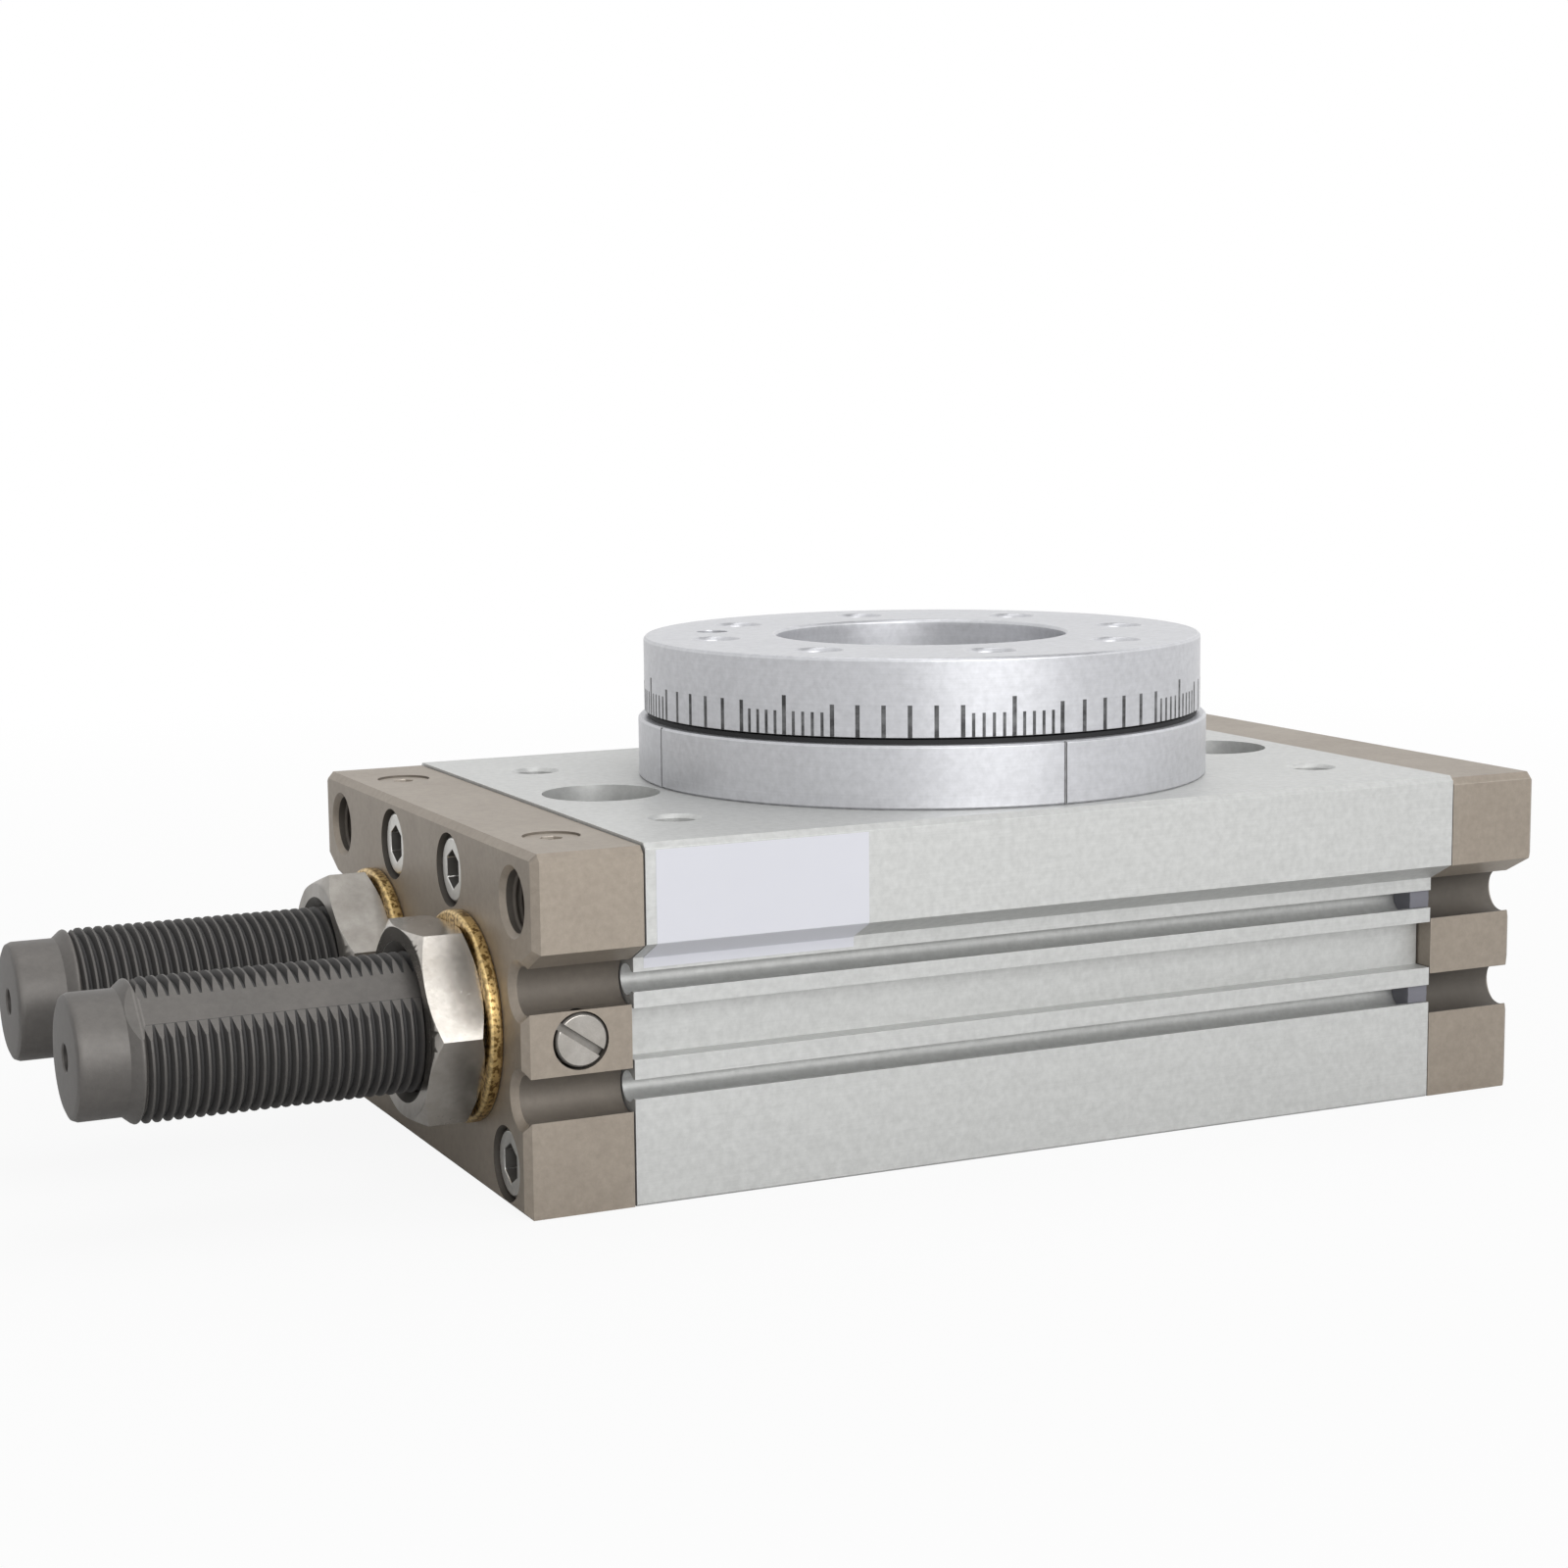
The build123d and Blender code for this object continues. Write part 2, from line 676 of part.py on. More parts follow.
with BuildPart() as shaft:
    with BuildSketch(Plane.XY.offset(gear_bottom)):
        Circle(root_radius)
        with PolarLocations(0, pinion_teeth, start_angle=hole_start):
            add(tooth.sketch)
    extrude(amount=gear_face)
    with BuildSketch(Plane.XZ):
        with BuildLine():
            Polyline(
                (0, shaft_bottom),
                (small_bearing_bore / 2, shaft_bottom),
                (small_bearing_bore / 2, small_bearing_top),
                (small_shoulder / 2, small_bearing_top),
                (small_shoulder / 2, gear_bottom - gear_relief),
                (root_radius, gear_bottom - gear_relief),
                (root_radius, gear_top + gear_relief),
                (shaft_neck / 2, gear_top + gear_relief),
                (shaft_neck / 2, large_seat + small_bevel),
                (large_bearing_bore / 2, large_seat + small_bevel),
                (large_bearing_bore / 2, large_bearing_top),
                (collar_diameter / 2, large_bearing_top),
                (collar_diameter / 2, table_bottom),
                (0, table_bottom),
                (0, shaft_bottom),
            )
        make_face()
    revolve(axis=Axis.Z)
    with Locations(Location((0, 0, table_bottom))):
        Hole(shaft_hole / 2)
        with PolarLocations(table_screw_circle / 2, table_screw_count):
            Hole(table_screw_size / 2, depth=table_screw_length)
    with Locations(Location((0, 0, table_bottom), (0, 0, 180 / table_screw_count))):
        with Locations((table_screw_circle / 2, 0)):
            Hole(pin_diameter / 2, depth=pin_length - (table_floor - table_bottom))
finish(shaft.part, "pinion_shaft")

# What joins the table to the shaft flange
with BuildPart() as table_screws:
    with Locations(Location((0, 0, table_floor))):
        with PolarLocations(table_screw_circle / 2, table_screw_count):
            add(countersunk_screw(table_screw_size, table_screw_length))
finish(table_screws.part, "table_screws")

with BuildPart() as table_pin:
    with Locations(Location((0, 0, table_floor), (0, 0, 180 / table_screw_count))):
        with Locations((table_screw_circle / 2, 0)):
            Cylinder(pin_diameter / 2 - thread_clearance, pin_length, align=TOP)
finish(table_pin.part, "table_pin")


# Rack pistons
rack_tip = pitch_radius - rack_addendum_factor * gear_module
rack_root = pitch_radius + dedendum_factor * gear_module
flank_slope = math.tan(math.radians(pressure_angle))
gap_half = (tooth_pitch / 2 + backlash / 2) / 2
gap_count = 2 * math.floor((rack_half - gap_half) / tooth_pitch) + 1


def along_bore(start, end):
    """A sketch plane across the bore at start, and the distance to end."""
    return Plane.YZ.offset(start), end - start


def rack_piston(side):
    """The rack piston of the bore on the side -1 (near) or 1 (far), at its rest place."""
    centre = -side * rest_shift
    tip_face = side * rack_tip
    with BuildPart() as rack:
        plane, length = along_bore(centre - piston_half, centre + piston_half)
        with BuildSketch(plane):
            with Locations((side * bore_offset, bore_height)):
                Circle(piston_radius)
        extrude(amount=length)
        chamfer(circles(rack, piston_radius), small_bevel)
        for end in (-1, 1):
            for start, width, depth in (
                (wear_ring_start, wear_ring_width, wear_ring_depth),
                (seal_start, seal_width, seal_depth),
            ):
                plane, length = along_bore(centre + end * start, centre + end * (start + width))
                with BuildSketch(plane):
                    with Locations((side * bore_offset, bore_height)):
                        Circle(bore_radius)
                        Circle(piston_radius - depth, mode=Mode.SUBTRACT)
                extrude(amount=length, mode=Mode.SUBTRACT)
            plane, length = along_bore(
                centre + end * (piston_half - pocket_depth), centre + end * piston_half
            )
            with BuildSketch(plane):
                with Locations((side * bore_offset, bore_height)):
                    Circle(pocket_diameter / 2)
            extrude(amount=length, mode=Mode.SUBTRACT)
        # The flat that the teeth are cut in, and the gaps between the teeth
        with BuildSketch(Plane.XY.offset(bore_height - bore_radius)):
            with Locations((centre, 0)):
                Rectangle(2 * rack_half, 2 * rack_tip)
            with BuildLine():
                Polyline(
                    (centre - gap_half - flank_slope * (pitch_radius - rack_tip), tip_face),
                    (centre + gap_half + flank_slope * (pitch_radius - rack_tip), tip_face),
                    (centre + gap_half - flank_slope * (rack_root - pitch_radius), side * rack_root),
                    (centre - gap_half - -flank_slope * (rack_root - pitch_radius), side * rack_root),
                    close=True,
                )
            gap = make_face(mode=Mode.PRIVATE)
            with Locations(*[(tooth_pitch * (i - gap_count // 2), 0) for i in range(gap_count)]):
                add(gap)
        extrude(amount=bore_diameter, mode=Mode.SUBTRACT)
    return rack.part


def piston_rings(side, start, width, depth):
    """The two rings that sit in one kind of groove of a rack piston."""
    centre = -side * rest_shift
    with BuildPart() as rings:
        for end in (-1, 1):
            plane, length = along_bore(centre + end * start, centre + end * (start + width))
            with BuildSketch(plane):
                with Locations((side * bore_offset, bore_height)):
                    Circle(piston_radius)
                    Circle(piston_radius - depth, mode=Mode.SUBTRACT)
            extrude(amount=length)
    return rings.part


for side, side_name in ((-1, "near"), (1, "far")):
    finish(rack_piston(side), f"{side_name}_rack_piston")
    finish(
        piston_rings(side, wear_ring_start, wear_ring_width, wear_ring_depth), f"{side_name}_wear_rings"
    )
    finish(piston_rings(side, seal_start, seal_width, seal_depth), f"{side_name}_piston_seals")
    magnet_start = -side * rest_shift + piston_half - pocket_depth
    with BuildPart() as magnet:
        with BuildSketch(Plane.YZ.offset(magnet_start)):
            with Locations((side * bore_offset, bore_height)):
                Circle(pocket_diameter / 2 - magnet_clearance)
        extrude(amount=magnet_length)
    finish(magnet.part, f"{side_name}_piston_magnet")


# Shock absorbers
def absorber_tube(side, flat_angle):
    """The outer tube of one shock absorber, with its plain end cap and its milled flat at the given angle."""
    thread_end = absorber_end + absorber_cap_length + absorber_flare
    with BuildPart() as tube:
        with BuildSketch(Plane.XY) as half:
            with BuildLine():
                Polyline(
                    (absorber_end, 0),
                    (absorber_end, absorber_cap_diameter / 2 - small_bevel),
                    (absorber_end + small_bevel, absorber_cap_diameter / 2),
                    (absorber_end + absorber_cap_length, absorber_cap_diameter / 2),
                    (thread_end, absorber_diameter / 2),
                    (absorber_face - edge_bevel, absorber_diameter / 2),
                    (absorber_face, absorber_diameter / 2 - edge_bevel),
                    (absorber_face, absorber_cavity / 2),
                    (absorber_face - absorber_cavity_depth, absorber_cavity / 2),
                    (absorber_face - absorber_cavity_depth, 0),
                    close=True,
                )
            make_face()
        revolve(axis=Axis.X)
        with Locations(Location((absorber_end, 0, 0), (0, -90, 0))):
            Hole(adjuster_hole / 2, depth=adjuster_depth)
        flat_middle = absorber_diameter / 2 - absorber_flat + gear_module
        turned = Location((0, 0, 0), (90 - flat_angle, 0, 0))
        with Locations(turned):
            with Locations(((thread_end + absorber_face) / 2, 0, flat_middle)):
                Box(absorber_length, absorber_diameter, 2 * gear_module, mode=Mode.SUBTRACT)
    return Location((0, side * bore_offset, bore_height)) * tube.part


def absorber_rod(side):
    """The rod of one shock absorber with the piston that runs in the tube."""
    head_front = absorber_face - bush_length - rod_reserve
    with BuildPart() as rod:
        with BuildSketch(Plane.YZ.offset(head_front)):
            Circle(absorber_cavity / 2 - running_clearance)
        extrude(amount=-rod_piston_length)
        with BuildSketch(Plane.YZ.offset(head_front)):
            Circle(rod_diameter / 2)
        extrude(amount=rod_tip - rod_cap_floor - head_front)
    return Location((0, side * bore_offset, bore_height)) * rod.part


def rod_cap(side):
    """The round cap pressed on the rod end, which meets the rack piston."""
    with BuildPart() as cap:
        with BuildSketch(Plane.YZ.offset(rod_tip)):
            Circle(rod_cap_diameter / 2)
        extrude(amount=-rod_cap_length)
        chamfer(cap.faces().sort_by(Axis.X)[-1].edges(), edge_bevel)
        with BuildSketch(Plane.YZ.offset(rod_tip - rod_cap_floor)):
            Circle(rod_diameter / 2)
        extrude(amount=-(rod_cap_length - rod_cap_floor), mode=Mode.SUBTRACT)
    return Location((0, side * bore_offset, bore_height)) * cap.part


def lock_nut(nut_turn):
    """The chamfered hex nut that locks a shock absorber, with the wide mouth of its thread."""
    nut_face = -housing_half_length - washer_thickness
    outer_face = nut_face - nut_thickness
    face_radius = nut_across_flats / 2
    slope = face_radius * nut_chamfer_reach
    drop = slope * math.tan(math.radians(nut_chamfer_angle))
    with BuildPart() as nut:
        with BuildSketch(Plane.YZ.offset(nut_face)):
            RegularPolygon(nut_across_flats / 2, 6, major_radius=False, rotation=nut_turn)
        extrude(amount=-nut_thickness)
        with BuildSketch(Plane.XY):
            with BuildLine():
                Polyline(
                    (nut_face, 0),
                    (nut_face, face_radius),
                    (nut_face - drop, face_radius + slope),
                    (outer_face + drop, face_radius + slope),
                    (outer_face, face_radius),
                    (outer_face, 0),
                    close=True,
                )
            make_face()
        revolve(axis=Axis.X, mode=Mode.INTERSECT)
        with BuildSketch(Plane.YZ.offset(nut_face)):
            Circle(absorber_diameter / 2 + running_clearance)
        extrude(amount=-nut_thickness, mode=Mode.SUBTRACT)
        with Locations(Location((outer_face, 0, 0), (0, 90, 0))):
            Cone(
                nut_mouth_diameter / 2,
                absorber_diameter / 2 + running_clearance,
                nut_mouth_depth,
                align=BOTTOM,
                mode=Mode.SUBTRACT,
            )
    return nut.part


for side, side_name, nut_turn, flat_angle in (
    (-1, "near", near_nut_turn, near_flat_angle),
    (1, "far", far_nut_turn, far_flat_angle),
):
    finish(absorber_tube(side, flat_angle), f"{side_name}_absorber_tube")
    finish(absorber_rod(side), f"{side_name}_absorber_rod")
    finish(rod_cap(side), f"{side_name}_rod_cap")
    with BuildPart() as bush:
        with BuildSketch(Plane.YZ.offset(absorber_face)):
            with Locations((side * bore_offset, bore_height)):
                Circle(absorber_cavity / 2)
                Circle(rod_diameter / 2 + running_clearance, mode=Mode.SUBTRACT)
        extrude(amount=-bush_length)
    finish(bush.part, f"{side_name}_rod_bush")
    with BuildPart() as washer:
        with BuildSketch(Plane.YZ.offset(-housing_half_length)):
            with Locations((side * bore_offset, bore_height)):
                Circle(washer_diameter / 2)
                Circle(washer_hole / 2, mode=Mode.SUBTRACT)
        extrude(amount=-washer_thickness)
        chamfer(circles(washer, washer_diameter / 2), small_bevel)
    finish(washer.part, f"{side_name}_seal_washer")
    finish(Location((0, side * bore_offset, bore_height)) * lock_nut(nut_turn), f"{side_name}_lock_nut")
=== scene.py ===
"""Looks of a pneumatic rotary table actuator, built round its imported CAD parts.

Sizes are in millimetres in the frame of the CAD parts: the origin is on the table
axis at the base plane, X runs along the housing and Z is up. Meshes are scaled to
metres when they are finished.
"""

import json
import logging
import math
from dataclasses import dataclass, field
from enum import Enum
from typing import Iterable, Sequence

import bmesh
import bpy
from mathutils import Matrix, Vector


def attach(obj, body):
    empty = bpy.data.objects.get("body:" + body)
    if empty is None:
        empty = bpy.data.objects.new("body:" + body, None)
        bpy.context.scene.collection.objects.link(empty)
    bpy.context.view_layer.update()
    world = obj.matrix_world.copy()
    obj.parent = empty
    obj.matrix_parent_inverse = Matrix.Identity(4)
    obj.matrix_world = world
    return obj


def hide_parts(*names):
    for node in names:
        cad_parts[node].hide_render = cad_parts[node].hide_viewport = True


LOG = logging.getLogger("rotary_actuator")
MM = 0.001
FULL_TURN = 2.0 * math.pi
WELD_MM = 1e-3
AXIS_WELD_MM = 1e-4
PLANE_SLACK_MM = 1e-5
SAME_PLANE_DEGREES = 0.6
PHOTO_PIXELS = 1600.0
SENSOR_MM = 36.0

# A point, a size or a linear colour, and pairs such as the corners of a profile
Triple = tuple[float, float, float]
Pairs = Sequence[tuple[float, float]]

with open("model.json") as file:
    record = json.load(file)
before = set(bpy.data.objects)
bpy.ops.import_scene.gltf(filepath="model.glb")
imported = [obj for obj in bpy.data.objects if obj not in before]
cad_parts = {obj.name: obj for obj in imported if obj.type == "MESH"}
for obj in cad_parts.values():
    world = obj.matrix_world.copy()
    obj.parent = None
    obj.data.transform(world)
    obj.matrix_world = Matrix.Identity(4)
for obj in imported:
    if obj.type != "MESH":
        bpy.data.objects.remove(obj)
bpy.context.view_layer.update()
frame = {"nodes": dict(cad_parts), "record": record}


# Shader maths


class Value:
    """A shader value or colour that is written like a number in an expression."""

    def __init__(self, nodes: "Nodes", socket: bpy.types.NodeSocket) -> None:
        """Keeps the node maker and the socket that holds the value."""
        self.nodes = nodes
        self.socket = socket

    def _math(self, operation: str, *values: "float | Value") -> "Value":
        """Adds a Math node with numbers or values in the order of its inputs."""
        inputs = {index: value for index, value in enumerate(values)}
        return self.nodes.add("ShaderNodeMath", {"operation": operation}, inputs)

    def __add__(self, other: "float | Value") -> "Value":
        """Sum of two values."""
        return self._math("ADD", self, other)

    __radd__ = __add__

    def __sub__(self, other: "float | Value") -> "Value":
        """Difference of two values."""
        return self._math("SUBTRACT", self, other)

    def __rsub__(self, other: "float | Value") -> "Value":
        """Difference with this value on the right."""
        return self._math("SUBTRACT", other, self)

    def __mul__(self, other: "float | Value") -> "Value":
        """Product of two values."""
        return self._math("MULTIPLY", self, other)

    __rmul__ = __mul__

    def __pow__(self, other: "float | Value") -> "Value":
        """This value to a power."""
        return self._math("POWER", self, other)

    def clamp(self) -> "Value":
        """This value held between 0 and 1."""
        return self._math("MINIMUM", self._math("MAXIMUM", self, 0.0), 1.0)

    def length_with(self, other: "Value") -> "Value":
        """Length of a flat vector that has this value and the other as its parts."""
        return (self * self + other * other) ** 0.5


class Nodes:
    """Makes the nodes of one material or world."""

    def __init__(self, tree: bpy.types.NodeTree) -> None:
        """Empties a node tree and keeps it."""
        self.tree = tree
        tree.nodes.clear()

    def add(
        self,
        kind: str,
        settings: dict[str, object] | None = None,
        inputs: dict[object, object] | None = None,
        output: int | str = 0,
    ) -> Value:
        """Adds a node, sets it up and links its inputs.

        Args:
            kind: Type of the node.
            settings: Attributes to set first, with "stops" for a ramp.
            inputs: Numbers, colours or values by input name or number.
            output: Name or number of the output to return.

        Returns:
            The chosen output.
        """
        node = self.tree.nodes.new(kind)
        for name, value in (settings or {}).items():
            if name == "stops":
                self._set_stops(node.color_ramp, value)
            else:
                setattr(node, name, value)
        for name, value in (inputs or {}).items():
            if isinstance(value, Value):
                self.tree.links.new(value.socket, node.inputs[name])
            else:
                node.inputs[name].default_value = value
        return Value(self, node.outputs[output])

    @staticmethod
    def _set_stops(ramp: bpy.types.ColorRamp, stops: Pairs) -> None:
        """Sets the position and grey level of each stop of a ramp."""
        while len(ramp.elements) < len(stops):
            ramp.elements.new(1.0)
        for element, (position, grey) in zip(ramp.elements, stops):
            element.position = position
            element.color = (grey, grey, grey, 1.0)

    def attribute(self, name: str) -> Value:
        """A number that the mesh carries, 0 where it has none."""
        return self.add(
            "ShaderNodeAttribute", {"attribute_type": "GEOMETRY", "attribute_name": name}, output="Fac"
        )

    def place(self) -> Value:
        """Place on the object, in metres."""
        return self.add("ShaderNodeTexCoord", output="Object")

    def parts(self, vector: Value) -> tuple[Value, Value, Value]:
        """The X, Y and Z parts of a vector."""
        split = self.add("ShaderNodeSeparateXYZ", None, {0: vector})
        node = split.socket.node
        return tuple(Value(self, node.outputs[index]) for index in range(3))

    def stretched(self, scale: Triple) -> Value:
        """Place on the object, scaled along each axis."""
        return self.add("ShaderNodeMapping", None, {"Vector": self.place(), "Scale": scale})

    def noise(self, scale: Triple, detail: float, rough: float = 0.5) -> Value:
        """Noise from 0 to 1, by cells per metre along each axis and its finer layers."""
        return self.add(
            "ShaderNodeTexNoise",
            {"noise_dimensions": "3D"},
            {"Vector": self.stretched(scale), "Scale": 1.0, "Detail": detail, "Roughness": rough},
        )

    def ramp(self, value: Value, stops: Pairs) -> Value:
        """A value led through grey stops."""
        return self.add("ShaderNodeValToRGB", {"stops": stops}, {0: value})

    def mix(self, factor: "float | Value", low: object, high: object, blend: str = "MIX") -> Value:
        """Mix of two colours, where a factor of 0 gives low and 1 gives high."""
        settings = {"data_type": "RGBA", "blend_type": blend}
        return self.add("ShaderNodeMix", settings, {0: factor, 6: low, 7: high}, output=2)

    def bump(self, height: Value, depth_mm: float) -> Value:
        """A normal that is tilted by a height from 0 to 1, which stands for some millimetres."""
        inputs = {"Height": height, "Distance": depth_mm * MM, "Strength": 1.0}
        return self.add("ShaderNodeBump", None, inputs)

    def end(self, surface: Value, kind: str = "ShaderNodeOutputMaterial") -> None:
        """Leads a shader to the output of the material or world."""
        output = self.tree.nodes.new(kind)
        self.tree.links.new(surface.socket, output.inputs["Surface"])


def grey(level: float) -> tuple[float, float, float, float]:
    """A grey colour of a level from 0 to 1."""
    return (level, level, level, 1.0)


def new_material(name: str) -> tuple[bpy.types.Material, Nodes]:
    """A material without nodes, and its node maker."""
    material = bpy.data.materials.new(name)
    material.use_nodes = True
    return material, Nodes(material.node_tree)


# Finishes


class Grain(Enum):
    """The way in which a surface was worked."""

    ALONG_X = "drawn along the housing"
    TURNED = "turned on the table axis"
    FINE = "even fine grain"


# Grain cells per metre along each axis, for a turned grain along the radius and the height
GRAIN_SCALES: dict[Grain, Triple] = {
    Grain.ALONG_X: (60.0, 5200.0, 5200.0),
    Grain.FINE: (4200.0, 4200.0, 4200.0),
    Grain.TURNED: (5200.0, 3800.0, 0.0),
}


@dataclass(frozen=True)
class MetalFinish:
    """A metal surface with grain, slight stains, brighter worn edges and painted glints, and painted shade
    in holes and grooves.

    Args:
        name: Name of the material.
        colour: Main colour, linear.
        stain: Colour of the slight stains.
        bright: Colour of worn edges and of painted glints.
        metallic: How metallic it is.
        roughness: Main roughness.
        grain: How it was worked.
        grain_depth: Depth of the grain in millimetres.
        stain_share: How strongly the stains show.
        painted_shade_colour: Colour of the shade painted into grooves and holes.
        stain_scale: Stains per metre.
        stain_edges: Noise levels where the stains start and where they are full.
        stain_detail: Finer layers in the stains.
    """

    name: str
    colour: Triple
    stain: Triple
    bright: Triple
    metallic: float = 1.0
    roughness: float = 0.35
    grain: Grain = Grain.FINE
    grain_depth: float = 0.01
    stain_share: float = 0.5
    painted_shade_colour: Triple = (0.055, 0.050, 0.044)
    stain_scale: float = 70.0
    stain_edges: tuple[float, float] = (0.35, 0.75)
    stain_detail: float = 4.0

    def build(self) -> bpy.types.Material:
        """Makes the material."""
        material, nodes = new_material(self.name)
        fine = self._grain(nodes)
        clouds = nodes.noise((self.stain_scale,) * 3, self.stain_detail, 0.6)
        specks = nodes.noise((900.0,) * 3, 3.0, 0.6)
        worn = nodes.attribute("worn")
        grime = nodes.attribute("grime")
        start, full = self.stain_edges
        stained = (nodes.ramp(clouds, [(start, 0.0), (full, 1.0)]) * self.stain_share).clamp()
        tone = nodes.mix(stained, (*self.colour, 1.0), (*self.stain, 1.0))
        shade = nodes.ramp(specks, [(0.3, 0.86), (0.7, 1.0)]) * (0.93 + fine * 0.14)
        tone = nodes.mix(1.0, tone, shade, "MULTIPLY")
        # Worn edges and painted glints take the bright colour; painted shade darkens holes and grooves and
        # makes them less metallic and rougher.
        tone = nodes.mix((worn * (0.35 + 0.5 * specks)).clamp(), tone, (*self.bright, 1.0))
        tone = nodes.mix((grime * (0.75 + 0.35 * clouds)).clamp(), tone, (*self.painted_shade_colour, 1.0))
        rough = self.roughness + (clouds - 0.5) * 0.10 + (fine - 0.5) * 0.08 - worn * 0.06 + grime * 0.25
        surface = nodes.add(
            "ShaderNodeBsdfPrincipled",
            None,
            {
                "Base Color": tone,
                "Metallic": self.metallic - grime * (0.7 * self.metallic),
                "Roughness": rough.clamp(),
                "Normal": nodes.bump(fine, self.grain_depth),
            },
        )
        nodes.end(surface)
        return material

    def _grain(self, nodes: Nodes) -> Value:
        """The grain as a height from 0 to 1."""
        if self.grain is not Grain.TURNED:
            return nodes.noise(GRAIN_SCALES[self.grain], 3.0, 0.55)
        outward, upward, _ = GRAIN_SCALES[self.grain]
        across, along, up = nodes.parts(nodes.place())
        radius = across.length_with(along)
        ring_place = nodes.add("ShaderNodeCombineXYZ", None, {0: radius * outward, 1: up * upward})
        return nodes.add(
            "ShaderNodeTexNoise",
            {"noise_dimensions": "3D"},
            {"Vector": ring_place, "Scale": 1.0, "Detail": 2.0},
        )


@dataclass(frozen=True)
class SoftFinish:
    """A plastic, rubber, paint or paper surface with a fine texture.

    Args:
        name: Name of the material.
        colour: Main colour, linear.
        other: Colour of the faint clouds in it.
        roughness: Main roughness.
        texture_scale: Texture cells per metre.
        texture_depth: Depth of the texture in millimetres.
        coat: Weight of a clear coat.
        scuffs: How strongly patches of it are rubbed off.
        under: Colour that shows where it is rubbed off.
    """

    name: str
    colour: Triple
    other: Triple
    roughness: float = 0.6
    texture_scale: float = 2500.0
    texture_depth: float = 0.01
    coat: float = 0.0
    scuffs: float = 0.0
    under: Triple = (0.400, 0.405, 0.415)

    def build(self) -> bpy.types.Material:
        """Makes the material."""
        material, nodes = new_material(self.name)
        texture = nodes.noise((self.texture_scale,) * 3, 3.0, 0.6)
        clouds = nodes.noise((120.0,) * 3, 4.0, 0.6)
        tone = nodes.mix(clouds, (*self.colour, 1.0), (*self.other, 1.0))
        if self.scuffs:
            rubbed = nodes.ramp(nodes.noise((220.0, 220.0, 420.0), 3.0, 0.65), [(0.42, 0.0), (0.68, 1.0)])
            tone = nodes.mix(rubbed * self.scuffs, tone, (*self.under, 1.0))
        rough = self.roughness + (clouds - 0.5) * 0.12 + (texture - 0.5) * 0.06
        surface = nodes.add(
            "ShaderNodeBsdfPrincipled",
            None,
            {
                "Base Color": tone,
                "Roughness": rough.clamp(),
                "Coat Weight": self.coat,
                "Normal": nodes.bump(texture, self.texture_depth),
            },
        )
        nodes.end(surface)
        return material


